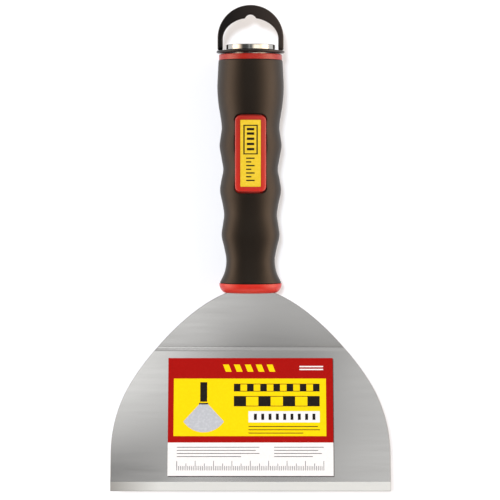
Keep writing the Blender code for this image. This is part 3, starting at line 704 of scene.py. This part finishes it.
def sleeve_sections():
    """Down the outside from one lip to the other, and back up the inside of the wall."""
    start, end = COLLAR_TOP_Y + CLEARANCE, GRIP_TOP_Y - CLEARANCE
    low_lip, high_lip = [], []
    for turn in spread(0.0, 90 * DEGREE, LIP_ROWS):
        low_lip.append((start + SLEEVE_LIP * (1 - math.cos(turn)), SLEEVE_LIP * (1 - math.sin(turn))))
        high_lip.append((end - SLEEVE_LIP * (1 - math.sin(turn)), SLEEVE_LIP * (1 - math.cos(turn))))
    outside = [(y, 0.0) for y in spread(start + SLEEVE_LIP, end - SLEEVE_LIP, OUTER_ROWS)[1:-1]]
    inside = [(y, SLEEVE_WALL) for y in spread(end, start, INNER_ROWS)]
    rows = [(y, *grip_section(y, inset)) for y, inset in low_lip + outside + high_lip + inside]
    return rows + rows[:1]


print("sleeve sections:", len(sleeve_sections()))

# %% [markdown]
# The window is cut by a plug that flares open at the surface. Where the plug flares, it leaves a rounded
# lip round the window. The plug has to follow the rises of the grip, so the height of each of its points is
# worked out from the grip's own section.

# %% The window's plug, and the cut sleeve
PAD_HALF = 8.45 * MM
PAD_LENGTH = 41.1 * MM
PAD_CORNER = 2.8 * MM
WINDOW_SIDE_GAP = 0.20 * MM
WINDOW_END_GAP = 0.80 * MM
WINDOW_LIP = 0.5 * MM


def rounded_box(half, low, high, corner, steps=8):
    """A rectangle with round corners, across the handle and along it."""
    centres = ((1, high - corner, 0), (-1, high - corner, 1), (-1, low + corner, 2), (1, low + corner, 3))
    points = []
    for side, y, quarter in centres:
        centre = (side * (half - corner), y)
        points += arc(centre, corner, quarter * math.pi / 2, (quarter + 1) * math.pi / 2, steps)
    return points


def pad_outline(side_gap=0.0, end_gap=0.0):
    """The pad's outline, or its window's with a gap at the sides and the ends."""
    low, high = PAD_LOW_Y - end_gap, PAD_LOW_Y + PAD_LENGTH + end_gap
    return rounded_box(PAD_HALF + side_gap, low, high, PAD_CORNER + side_gap)


def grip_height(x, y):
    """The height of the grip's surface at a place."""
    half, top = grip_section(y)[:2]
    power = squareness(y)
    return top * max(1 - abs(x / half) ** power, 0.0) ** (1 / power)


def window_plug():
    """Rings of the pad's outline, stacked up through the rubber and flaring over its lip."""
    bm = bmesh.new()
    layers = [(0.0, -SLEEVE_WALL * 2)]
    for turn in spread(0, 90 * DEGREE, LIP_ROWS):
        layers.append((WINDOW_LIP * (1 - math.cos(turn)), WINDOW_LIP * (math.sin(turn) - 1)))
    layers.append((WINDOW_LIP, SLEEVE_WALL * 2))
    rings = []
    for flare, rise in layers:
        outline = pad_outline(WINDOW_SIDE_GAP + flare, WINDOW_END_GAP + flare)
        ring = [bm.verts.new((x, y, grip_height(x, y) + rise)) for x, y in outline]
        rings.append([bm.edges.new(pair) for pair in zip(ring, ring[1:] + ring[:1])])
    for low, high in zip(rings, rings[1:]):
        bmesh.ops.bridge_loops(bm, edges=low + high)
    for ring in (rings[0], rings[-1]):
        bmesh.ops.triangle_fill(bm, edges=ring, use_beauty=True)
    return bm


tube = loft(sleeve_sections(), HANDLE_STEPS, closed=True, power_at=squareness)
finish_piece(cut(tube, window_plug()), "grip_rubber", "handle", "grip_sleeve", [rubber])

# %% [markdown]
# ## The red moulding
# One hard plastic moulding runs through the whole handle. It shows in three places: the collar round the
# blade, the band at the butt and the pad in the window. It is lofted like the sleeve, from the collar's
# face through the inside of the grip to the band, and then back down into the bore that holds the pole
# socket.

# %% The core, with its collar and band
COLLAR_FACE = (14.0 * MM, 9.5 * MM, 9.5 * MM)
COLLAR_ROUNDING_SHARES = (
    (0.0, 0.0),
    (0.04, 0.18),
    (0.12, 0.40),
    (0.26, 0.64),
    (0.40, 0.80),
    (0.55, 0.92),
    (0.70, 1.00),
    (0.85, 1.025),
    (0.95, 1.015),
    (1.0, 1.0),
)
BAND_RADIUS = 17.25 * MM
BAND_EDGE = 0.6 * MM
BAND_EDGE_ROWS = 5
SOCKET_RADIUS = 11.6 * MM
CORE_ROWS = 40


def core_sections():
    """From the collar's face through the grip to the band, and back down into the socket's bore."""
    collar_top = grip_section(COLLAR_TOP_Y)
    rows = []
    for along, out in COLLAR_ROUNDING_SHARES:
        sizes = [small + (large - small) * out for small, large in zip(COLLAR_FACE, collar_top)]
        rows.append((COLLAR_FACE_Y + (COLLAR_TOP_Y - COLLAR_FACE_Y) * along, *sizes))
    inset = SLEEVE_WALL + CLEARANCE
    rows += [(y, *grip_section(y, inset)) for y in spread(COLLAR_TOP_Y, GRIP_TOP_Y, CORE_ROWS)]
    rows.append((GRIP_TOP_Y, BAND_RADIUS, BAND_RADIUS, BAND_RADIUS))
    for turn in spread(0, 90 * DEGREE, BAND_EDGE_ROWS):
        radius = BAND_RADIUS - BAND_EDGE * (1 - math.cos(turn))
        rows.append((BAND_TOP_Y - BAND_EDGE * (1 - math.sin(turn)), radius, radius, radius))
    bore = SOCKET_RADIUS + CLEARANCE
    return rows + [(y, bore, bore, bore) for y in (BAND_TOP_Y, SOCKET_END_Y - CLEARANCE)]


print("core sections:", len(core_sections()))

# %% [markdown]
# The pad is a slab with round corners whose top is arched across the handle. Its faces are split
# lengthwise, and each strip's points drop with the arch. The rim gets a generous rounding, which catches a
# bright line of light. A shallow recess takes the sticker, so that a palm can't rub its edges up.

# %% The crowned pad, joined to the core
STICKER_HALF = 5.53 * MM
STICKER_LENGTH = 36.1 * MM
STICKER_LOW_Y = 89.65 * MM
STICKER_CORNER = 0.3 * MM
STICKER_THICK = 0.25 * MM
PAD_SEAT = 15.4 * MM
PAD_HEIGHT = 15.65 * MM
PAD_SLOPE = 1.9 * DEGREE
PAD_ROOT = 8.0 * MM
PAD_CROWN = 30.0 * MM
PAD_RIM = 0.7 * MM
RECESS_GAP = 0.3 * MM
CROWN_STRIPS = 20


def slab(outline, low, high):
    """A flat solid over an outline."""
    bm = bmesh.new()
    bm.faces.new([bm.verts.new((x, y, low)) for x, y in outline])
    raise_faces(bm, high - low)
    return bm


def crown(bm, above=0.0):
    """Arches whatever lies above a height across the handle, and leans it with the pad."""
    middle_y = PAD_LOW_Y + PAD_LENGTH / 2
    for vertex in bm.verts:
        if vertex.co.z > above:
            vertex.co.z -= PAD_CROWN - math.sqrt(PAD_CROWN**2 - vertex.co.x**2)
            vertex.co.z += (vertex.co.y - middle_y) * math.tan(PAD_SLOPE)


def crown_splits(half):
    """The places across the pad where its arch's strips meet."""
    return [half * (2 * strip / CROWN_STRIPS - 1) for strip in range(1, CROWN_STRIPS)]


def crowned_slab(outline, low, high, half):
    """A thin solid over an outline that follows the pad's arch."""
    bm = slab(outline, low, high)
    split_faces(bm, (1, 0, 0), crown_splits(half))
    crown(bm)
    return bm


def sticker_outline(gap=0.0):
    """The sticker's outline, or its recess's with a gap all round."""
    low, high = STICKER_LOW_Y - gap, STICKER_LOW_Y + STICKER_LENGTH + gap
    return rounded_box(STICKER_HALF + gap, low, high, STICKER_CORNER + gap, 3)


def make_pad():
    """The pad with its rounded rim, its arch and the sticker's recess."""
    bm = slab(pad_outline(), PAD_ROOT, PAD_HEIGHT)
    rim = [e for e in bm.edges if min(v.co.z for v in e.verts) > PAD_HEIGHT - PAD_RIM]
    bmesh.ops.bevel(bm, geom=rim, offset=PAD_RIM, segments=5, profile=0.5, affect="EDGES", material=-1)
    split_faces(bm, (1, 0, 0), crown_splits(PAD_HALF))
    crown(bm, PAD_ROOT + PAD_RIM)
    return cut(bm, crowned_slab(sticker_outline(RECESS_GAP), PAD_SEAT, PAD_HEIGHT + PAD_RIM, PAD_HALF))


core = cut(loft(core_sections(), HANDLE_STEPS), make_pad(), "UNION")
tang_space = flat_blade(-SHEET / 2 - CLEARANCE, SHEET / 2 + CLEARANCE, CLEARANCE)
core = cut(core, tang_space)
finish_piece(core, "red_moulding", "handle", "handle_core", [red_plastic])

# %% [markdown]
# ## The sticker on the pad
# A laminated sticker lies in the pad's recess and follows its arch. It is yellow, with a plain pattern of
# its own: a frame with five bars in it, and a short scale of long and short ticks. The black is a thin
# layer on top.

# %% Sticker and its print
GLUE_LINE = 0.02 * MM
PRINT_THICK = 0.03 * MM
STICKER_SEAT = PAD_SEAT + GLUE_LINE
STICKER_TOP = STICKER_SEAT + STICKER_THICK


def joined(shapes):
    """Several bmeshes in one."""
    whole = bmesh.new()
    for shape in shapes:
        mesh = bpy.data.meshes.new("layer")
        shape.to_mesh(mesh)
        shape.free()
        whole.from_mesh(mesh)
        bpy.data.meshes.remove(mesh)
    return whole


def bar(low_x, high_x, low_y, high_y, slant=0.0):
    """A printed bar's outline. With a slant its far end is moved across."""
    return [(low_x, low_y), (high_x, low_y), (high_x + slant, high_y), (low_x + slant, high_y)]


def sticker_print():
    """Outlines in millimetres, across the sticker and along it from its middle."""
    frame_bars = [bar(-3.9, -3.2, -0.6, 15.4), bar(3.2, 3.9, -0.6, 15.4)]
    frame_bars += [bar(-3.2, 3.2, 14.8, 15.4), bar(-3.2, 3.2, -0.6, 0.0)]
    long_bars = [bar(-2.0, 2.0, y, y + 1.3) for y in (1.6, 4.4, 7.2, 10.0, 12.4)]
    ticks = [bar(-2.4, 0.4 if step % 2 else 2.2, y, y + 0.7) for step, y in enumerate(range(-15, -1, 2))]
    return frame_bars + long_bars + ticks


sticker = crowned_slab(sticker_outline(), STICKER_SEAT, STICKER_TOP, STICKER_HALF)
finish_piece(sticker, "pad_sticker", "handle", "handle_label", [sticker_ink])
middle_y = STICKER_LOW_Y + STICKER_LENGTH / 2
printed = [[(x * MM, middle_y + y * MM) for x, y in outline] for outline in sticker_print()]
layers = [crowned_slab(outline, STICKER_TOP, STICKER_TOP + PRINT_THICK, STICKER_HALF) for outline in printed]
finish_piece(joined(layers), "pad_sticker_print", "handle", "handle_label", [black_ink])

# %% [markdown]
# ## The card on the blade
# A printed card is glued to the blade, just in front of the bend. It keeps the colour fields of such a
# card: red, a yellow panel and a white foot. A thin dark layer under it, showing past its right and lower
# edges, is a painted shadow. Every layer is drawn on the flat sheet and then swung up with it.

# %% The card and its printed layers
CARD_SIZE = (90.3, 64.8)
CARD_HALF = CARD_SIZE[0] / 2 * MM
CARD_NEAR_Y = -5.2 * MM
CARD_SEAT = SHEET / 2 + GLUE_LINE
CARD_THICK = 0.35 * MM
# Height and thickness of the painted shadow under the card.
PAINTED_SHADOW_SEAT = SHEET / 2 + 0.005 * MM
PAINTED_SHADOW_THICK = 0.012 * MM


def ink_height(layer):
    """The height of the first, second or third layer of ink over the middle of the sheet."""
    return CARD_SEAT + CARD_THICK + layer * PRINT_THICK


def card_layer(name, outlines, low, material, thick=PRINT_THICK):
    """Lays down outlines given in millimetres from the card's top left corner, from a height on."""
    placed = [[(-CARD_HALF + x * MM, CARD_NEAR_Y - y * MM) for x, y in outline] for outline in outlines]
    whole = joined([slab(outline, low, low + thick) for outline in placed])
    bend_sheet(whole)
    finish_piece(whole, name, "handle", "blade_label", [material])


# Painted shadow: a dark grey layer under the card, showing past its right and lower edges.
shadow_outline = bar(0.4, CARD_SIZE[0] + 0.4, 0.4, CARD_SIZE[1] + 0.5)
card_layer("card_painted_shadow", [shadow_outline], PAINTED_SHADOW_SEAT, painted_card_shadow, PAINTED_SHADOW_THICK)
card_layer("card_sheet", [bar(0, CARD_SIZE[0], 0, CARD_SIZE[1])], CARD_SEAT, red_ink, CARD_THICK)
card_layer("card_yellow_field", [bar(3.1, 86.5, 11.4, 43.1)], ink_height(0), yellow_ink)
card_layer("card_white_foot", [bar(0, CARD_SIZE[0], 46.6, CARD_SIZE[1])], ink_height(0), white_card)

# %% [markdown]
# The drawing on the card is one that any tool maker could use. A grey fan with a dark handle stands for the
# blade, two bars in black and yellow blocks stand beside it as scales, plain rules fill the panel, and a
# ruler runs along the white foot. Small functions draw each motif as outlines in millimetres.

# %% Drawing on the card
def fan(centre, radius, waist, start, end, steps=24):
    """A fan-shaped blade seen flat: an arc at its wide end, drawn in to a waist at the handle."""
    wide = arc(centre, radius, start, end, steps)
    return wide + [(centre[0] - waist, centre[1] - waist), (centre[0] + waist, centre[1] - waist)]


def blocks(low_x, high_x, low_y, high_y, count):
    """Every other block of a scale bar."""
    width = (high_x - low_x) / count
    return [bar(low_x + width * i, low_x + width * (i + 1), low_y, high_y) for i in range(0, count, 2)]


def rules(low_x, ends, first_y, step, thick):
    """Plain rules under each other, each with its own end."""
    return [bar(low_x, end, first_y + step * i, first_y + step * i + thick) for i, end in enumerate(ends)]


def ruler(low_x, high_x, base_y, count):
    """Ticks of a ruler: every fifth is longer, and every tenth longer again."""
    ticks = []
    for i in range(count + 1):
        x = low_x + (high_x - low_x) * i / count
        length = 5.2 if i % 10 == 0 else 3.8 if i % 5 == 0 else 2.4
        ticks.append(bar(x - 0.13, x + 0.13, base_y - length, base_y))
    return ticks


def scale_bar(low_x, high_x, low_y, high_y, count):
    """Blocks between two thin rules, as on a map."""
    edges = [bar(low_x, high_x, low_y - 0.35, low_y), bar(low_x, high_x, high_y, high_y + 0.35)]
    return blocks(low_x, high_x, low_y, high_y, count) + edges


black_marks = scale_bar(36, 83, 14.6, 18.2, 13) + scale_bar(36, 83, 21.4, 26.4, 7)
black_marks += rules(44, (82, 83, 74), 37.6, 1.8, 0.45)
black_marks += [bar(17.6, 21.4, 13.4, 24.2), bar(17.0, 22.0, 24.8, 25.8)]
card_layer("card_black_marks", black_marks, ink_height(1), black_ink)
grey_fan = fan((19.5, 27.6), 13.4, 2.2, 34 * DEGREE, 146 * DEGREE)
card_layer("card_grey_fan", [grey_fan], ink_height(1), grey_ink)
card_layer("card_white_tag", [bar(44, 83, 29.4, 35.6)], ink_height(1), white_card)
tag_bars = [bar(x, x + 1.6, 30.8, 34.2) for x in range(47, 80, 4)]
card_layer("card_tag_bars", tag_bars, ink_height(2), black_ink)
yellow_row = [bar(x, x + 3.2, 3.6, 7.6, 1.6) for x in range(30, 55, 6)]
card_layer("card_yellow_row", yellow_row, ink_height(0), yellow_ink)
card_layer("card_white_rules", rules(72, (85, 85), 4.4, 1.6, 0.7), ink_height(0), white_card)
foot_marks = ruler(5, 85, 61.8, 80) + rules(5, (50, 48, 50, 40), 49.0, 1.7, 0.32)
foot_marks += rules(58, (85, 82, 84, 79), 49.0, 1.7, 0.32)
card_layer("card_foot_marks", foot_marks, ink_height(1), black_ink)

# %% [markdown]
# ## The pole socket
# A lathe makes the socket, so here it is a profile spun once round the axis. Its head is a flat flange with
# broken edges, and its mouth has a lead-in. The bore's broad trapezoid thread is cut the way a tool cuts
# it: the groove's section is spun round the axis while it climbs, and what it sweeps is taken out.

# %% Turned socket
HEAD_RADIUS = 13.55 * MM
HEAD_EDGE = 0.4 * MM
THREAD_MAJOR = 9.75 * MM
THREAD_MINOR = 7.1 * MM
THREAD_PITCH = 5.08 * MM
THREAD_LEAD_IN = 1.6 * MM
THREAD_STEPS = 64
GROOVE_FLOOR = 0.94 * MM
GROOVE_MOUTH = 1.86 * MM
GROOVE_OVERCUT = 0.7 * MM
HOLD = 0.06 * MM
LONG_SIDE = 0.5 * MM
SOCKET_STEPS = 96


def held(profile):
    """Adds points near the ends of a profile's straight sides, so that their shading stays straight."""
    points = []
    for start, end in zip(profile, profile[1:] + profile[:1]):
        length = math.dist(start, end)
        places = (0, HOLD, length - HOLD) if length > LONG_SIDE else (0,)
        for place in places:
            share = place / length
            points.append((start[0] + (end[0] - start[0]) * share, start[1] + (end[1] - start[1]) * share))
    return points


def turned(profile, steps):
    """A solid turned from a closed profile of (radius, y) points."""
    bm = bmesh.new()
    points = [bm.verts.new((radius, y, 0)) for radius, y in held(profile)]
    edges = [bm.edges.new(pair) for pair in zip(points, points[1:] + points[:1])]
    bmesh.ops.spin(
        bm, geom=points + edges, cent=(0, 0, 0), axis=(0, 1, 0), angle=FULL_TURN, steps=steps, use_merge=True
    )
    return bm


def disc_side(radius, low, high, edge):
    """The outer side of a disc's profile, from its lower face to its upper one, with rounded edges."""
    below = arc((radius - edge, low + edge), edge, -90 * DEGREE, 0, 5)
    return below + arc((radius - edge, high - edge), edge, 0, 90 * DEGREE, 5)


def socket_profile():
    """Half the socket's section: its body, the flange of its head and its mouth, without the thread."""
    profile = [(THREAD_MINOR, SOCKET_END_Y), (SOCKET_RADIUS, SOCKET_END_Y), (SOCKET_RADIUS, HEAD_LOW_Y)]
    profile += disc_side(HEAD_RADIUS, HEAD_LOW_Y, HEAD_TOP_Y, HEAD_EDGE)
    mouth = THREAD_MINOR + THREAD_LEAD_IN
    return profile + [(mouth, HEAD_TOP_Y), (THREAD_MINOR, HEAD_TOP_Y - THREAD_LEAD_IN)]


def thread_groove():
    """The thread's groove: its trapezoid section, spun round the axis while it climbs."""
    inner = THREAD_MINOR - GROOVE_OVERCUT
    start_y = SOCKET_END_Y - THREAD_PITCH
    section = [(inner, -GROOVE_MOUTH), (THREAD_MAJOR, -GROOVE_FLOOR)]
    section += [(THREAD_MAJOR, GROOVE_FLOOR), (inner, GROOVE_MOUTH)]
    turns = math.ceil((HEAD_TOP_Y - SOCKET_END_Y) / THREAD_PITCH) + 2
    bm = bmesh.new()
    bm.faces.new([bm.verts.new((radius, start_y + y, 0)) for radius, y in section])
    bmesh.ops.spin(
        bm,
        geom=bm.faces[:] + bm.edges[:] + bm.verts[:],
        cent=(0, 0, 0),
        axis=(0, 1, 0),
        dvec=(0, THREAD_PITCH / THREAD_STEPS, 0),
        angle=FULL_TURN * turns,
        steps=THREAD_STEPS * turns,
    )
    return bm


threaded = cut(turned(socket_profile(), SOCKET_STEPS), thread_groove())
finish_piece(threaded, "socket_metal", "handle", "pole_socket", [nickel])

# %% [markdown]
# ## The ring and the loop
# The hang loop stands on a thin ring that turns under the socket's head. The ring is moulded, thin, with
# round edges, and is spun from its profile as the socket was.

# %% Swivel ring
RING_RADIUS = 18.598 * MM
RING_HOLE = 11.8 * MM
RING_EDGE = 0.4 * MM
RING_STEPS = 128

ring_profile = [(RING_HOLE, RING_TOP_Y), (RING_HOLE, RING_LOW_Y)]
ring_profile += disc_side(RING_RADIUS, RING_LOW_Y, RING_TOP_Y, RING_EDGE)
spun_ring = turned(ring_profile, RING_STEPS)
finish_piece(spun_ring, "ring_moulding", "ring", "swivel_ring", [black_plastic])

# %% [markdown]
# The loop is moulded flat, with rounded edges all round. Its eye is an arch with a flat middle, and a round
# notch there centres the tool on a nail. The lips of the notch are rounded, or the rounding of the rim
# would cross itself. The loop's feet are rounded about the line that it folds on, so that they clear the
# ring as it turns over. Last, the big flat faces are inset by a hair, so that the shading of their rounded
# rims doesn't bleed across them.

# %% Hang loop
LOOP_HALF = 18.05 * MM
LOOP_TOP_Y = RING_TOP_Y + 25.0 * MM
LOOP_FOOT_Y = RING_TOP_Y + 0.3 * MM
LOOP_DEPTH = 3.5 * MM
LEG = 2.9 * MM
CROWN = 7.0 * MM
EYE_ARCH = 11.5 * MM
EYE_MIDDLE = 7.4 * MM
LOOP_EDGE = 0.8 * MM
FOOT_ROUNDING = LOOP_DEPTH / 2 * 0.98
HAIR = 0.04 * MM
BIG_FLAT = 60 * MM * MM
NOTCH_RADIUS = 3.2 * MM
NOTCH_LIP = 1.0 * MM
NOTCH_DEPTH = 2.15 * MM
EYE_STEPS = 144


def notch_rise(x):
    """How far the notch rises over the flat middle of the eye: a round recess with rounded lips."""
    reach = NOTCH_RADIUS + NOTCH_LIP
    lip_x = math.sqrt(reach**2 - (reach - NOTCH_DEPTH) ** 2)
    if abs(x) >= lip_x:
        return 0.0
    if abs(x) > lip_x * NOTCH_RADIUS / reach:
        return NOTCH_LIP - math.sqrt(NOTCH_LIP**2 - (lip_x - abs(x)) ** 2)
    return NOTCH_DEPTH - NOTCH_RADIUS + math.sqrt(NOTCH_RADIUS**2 - x**2)


def loop_outline():
    """Round the outside from foot to foot, and back under the arch of the eye."""
    inner = LOOP_HALF - LEG
    outside = arc((0.0, LOOP_TOP_Y - LOOP_HALF), LOOP_HALF, 0, math.pi, EYE_STEPS)
    arch_low = LOOP_TOP_Y - CROWN - EYE_ARCH
    eye = []
    for turn in spread(math.pi, 0.0, EYE_STEPS):
        x = inner * math.cos(turn)
        y = min(arch_low + EYE_ARCH * math.sin(turn), LOOP_TOP_Y - EYE_MIDDLE)
        eye.append((x, y + notch_rise(x)))
    feet = [(x, LOOP_FOOT_Y) for x in (LOOP_HALF, -LOOP_HALF, -inner, inner)]
    return [feet[0]] + outside + feet[1:3] + eye + [feet[3]]


def make_loop():
    """Rounds the feet of the flat loop, then its rims, and holds its flat faces flat."""
    bm = slab(loop_outline(), -LOOP_DEPTH / 2, LOOP_DEPTH / 2)
    soles = [e for e in bm.edges if max(v.co.y for v in e.verts) < LOOP_FOOT_Y + MERGE]
    toes = [e for e in soles if abs(e.verts[0].co.x - e.verts[1].co.x) > LEG / 2]
    bmesh.ops.bevel(bm, geom=toes, offset=FOOT_ROUNDING, segments=8, profile=0.5, affect="EDGES", material=-1)
    rims = [e for e in bm.edges if e.calc_face_angle() > RIM_TURN]
    bmesh.ops.bevel(bm, geom=rims, offset=LOOP_EDGE, segments=4, profile=0.5, affect="EDGES", material=-1)
    flats = [face for face in bm.faces if face.calc_area() > BIG_FLAT]
    bmesh.ops.inset_individual(bm, faces=flats, thickness=HAIR, depth=0.0)
    return bm


finish_piece(make_loop(), "loop_moulding", "loop", "hang_loop", [black_plastic])

# %% [markdown]
# ## The studio
# The tool lies on a plain white floor that glows a little, so that only the key lamp's shadow shows on it.
# The glow is slightly cool, which keeps the shadow grey between the warm side panels.

# %% Floor
FLOOR_HALF = 2.0
FLOOR_DROP = 0.1 * MM


def white_floor():
    """A big square just under the tool."""
    bm = bmesh.new()
    bmesh.ops.create_grid(bm, x_segments=1, y_segments=1, size=FLOOR_HALF)
    bmesh.ops.translate(bm, verts=bm.verts, vec=(0, 0, -FLOOR_DROP))
    floor = new_object(bm, "floor")
    sweep = new_material(
        "White studio sweep",
        Base_Color=linear("#bababa"),
        Roughness=0.9,
        Emission_Color=linear("#f9fbff"),
        Emission_Strength=0.42,
    )[0]
    floor.data.materials.append(sweep)
    return floor


white_floor()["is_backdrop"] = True
print("floor laid")

# %% [markdown]
# The soft light round the tool comes from the world: bright low panels to the left and right, as in a
# product photographer's light tent, dim ones at both ends, and a dim ceiling. A strip high on the right
# draws the bright bar on the socket's head. The blade mirrors what hangs straight over it, so small cards
# there give it its slow greys. Each panel is a soft spot in the world's directions. The camera sees plain
# white behind the floor.

# %% Soft panels in the world
def make_world(ambient, panels):
    """A world of soft panels. Each is a centre and a reach along X, Y and Z, a colour and a brightness."""
    world = bpy.data.worlds.new("Light tent")
    bpy.context.scene.world = world
    world.use_nodes = True
    tree = world.node_tree
    there = add_node(tree, "TexCoord")
    total = add_node(tree, "VectorMath", {"operation": "SCALE", 0: linear("#ffffff")[:3], "Scale": ambient})
    for centre, reach, colour, strength in panels:
        away = add_node(tree, "VectorMath", {"operation": "SUBTRACT", 1: centre}, {0: (there, "Generated")})
        shaped = add_node(tree, "VectorMath", {"operation": "DIVIDE", 1: reach}, {0: (away, 0)})
        distance = add_node(tree, "VectorMath", {"operation": "LENGTH"}, {0: (shaped, 0)})
        fading = {"interpolation_type": "SMOOTHSTEP", "From Min": 1.0, "From Max": 0.3, "To Max": strength}
        glow = add_node(tree, "MapRange", fading, {"Value": (distance, "Value")})
        tinted = {"operation": "SCALE", 0: linear(colour)[:3]}
        light = add_node(tree, "VectorMath", tinted, {"Scale": (glow, 0)})
        total = add_node(tree, "VectorMath", {"operation": "ADD"}, {0: (total, 0), 1: (light, 0)})
    seen = add_node(tree, "LightPath")
    white = {"data_type": "RGBA", 7: (1, 1, 1, 1)}
    shown = add_node(tree, "Mix", white, {0: (seen, "Is Camera Ray"), 6: (total, 0)})
    join(tree, tree.nodes["Background"], {"Color": (shown, 2)})


CEILING = 0.12
SIDE_PANELS = (
    ((-1.0, 0.0, 0.0), (0.85, 1.10, 0.98), "#ffe4cc", 4.0),
    ((1.0, 0.0, 0.1), (0.85, 1.10, 1.05), "#ffe4cc", 4.0),
    ((0.43, 0.01, 0.84), (0.40, 0.06, 0.60), "#fff2e2", 2.8),
    ((0.0, -1.0, 0.15), (0.90, 0.55, 0.65), "#fff4ea", 1.3),
    ((0.0, 1.0, 0.15), (0.90, 0.55, 0.65), "#fff4ea", 1.3),
)
OVERHEAD_CARDS = (
    ((0.00, -0.15), (0.42, 0.16), 0.30),
    ((0.00, 0.46), (0.45, 0.28), 0.28),
    ((-0.01, -0.17), (0.13, 0.10), 0.28),
    ((-0.10, -0.08), (0.12, 0.12), 0.60),
    ((0.10, -0.08), (0.09, 0.10), 0.28),
    ((-0.10, 0.10), (0.10, 0.10), 1.10),
    ((-0.055, 0.21), (0.045, 0.08), 0.45),
    ((0.00, 0.06), (0.45, 0.08), 0.20),
    ((0.07, 0.17), (0.20, 0.13), 0.40),
    ((0.20, 0.32), (0.15, 0.25), 0.50),
    ((-0.18, 0.42), (0.17, 0.21), 0.80),
)
CARD_DEPTH = 0.3


def overhead_panels():
    """The small cards over the blade, each given by its slopes from straight up."""
    panels = []
    for (across, along), (reach_x, reach_y), strength in OVERHEAD_CARDS:
        centre = Vector((across, along, 1.0)).normalized()
        panels.append((centre, (reach_x, reach_y, CARD_DEPTH), "#ffffff", strength))
    return panels


PANELS = list(SIDE_PANELS) + overhead_panels()
make_world(CEILING, PANELS)
print("panels:", len(PANELS))

# %% [markdown]
# The key lamp is a sun that leans from the upper left. Polished metal would mirror it as a hard spot, so
# gloss doesn't see it: it only lights matt surfaces and drops the short shadow. The camera hangs straight
# over the tool with a long lens.

# %% Key light and camera
KEY_FROM = Vector((-0.12, 0.14, 1.0))
KEY_STRENGTH = 2.7
KEY_WIDTH = 9 * DEGREE
CAMERA_PLACE = (-0.3 * MM, -1.5 * MM, 1111 * MM)
LENS = 143.7
SENSOR = 36


def make_sun():
    """A soft sun that matt surfaces see and gloss doesn't."""
    data = bpy.data.lights.new("key", "SUN")
    data.color = linear("#e6f1ff")[:3]
    data.energy = KEY_STRENGTH
    data.angle = KEY_WIDTH
    key = bpy.data.objects.new("key", data)
    key.rotation_euler = KEY_FROM.to_track_quat("Z", "Y").to_euler()
    key.visible_glossy = False
    bpy.context.scene.collection.objects.link(key)


def make_camera():
    """A camera about 1.1 m up, whose sensor looks straight down."""
    data = bpy.data.cameras.new("camera")
    data.lens = LENS
    data.sensor_width = SENSOR
    camera = bpy.data.objects.new("camera", data)
    camera.location = CAMERA_PLACE
    bpy.context.scene.collection.objects.link(camera)
    bpy.context.scene.camera = camera


make_sun()
make_camera()
bpy.context.scene.view_settings.view_transform = "Standard"
print("camera at", tuple(round(v, 4) for v in bpy.context.scene.camera.location))

# %% [markdown]
# ## The two boxes
# The finished pieces are drawn to lie inside the solid model's box. Both boxes are printed here.

# %% Print both boxes
visual_box = [list(corner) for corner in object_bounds()]
for name, corners in (("solid model", CAD_BOX), ("pieces", visual_box)):
    print(name, [[round(value / MM, 2) for value in corner] for corner in corners])
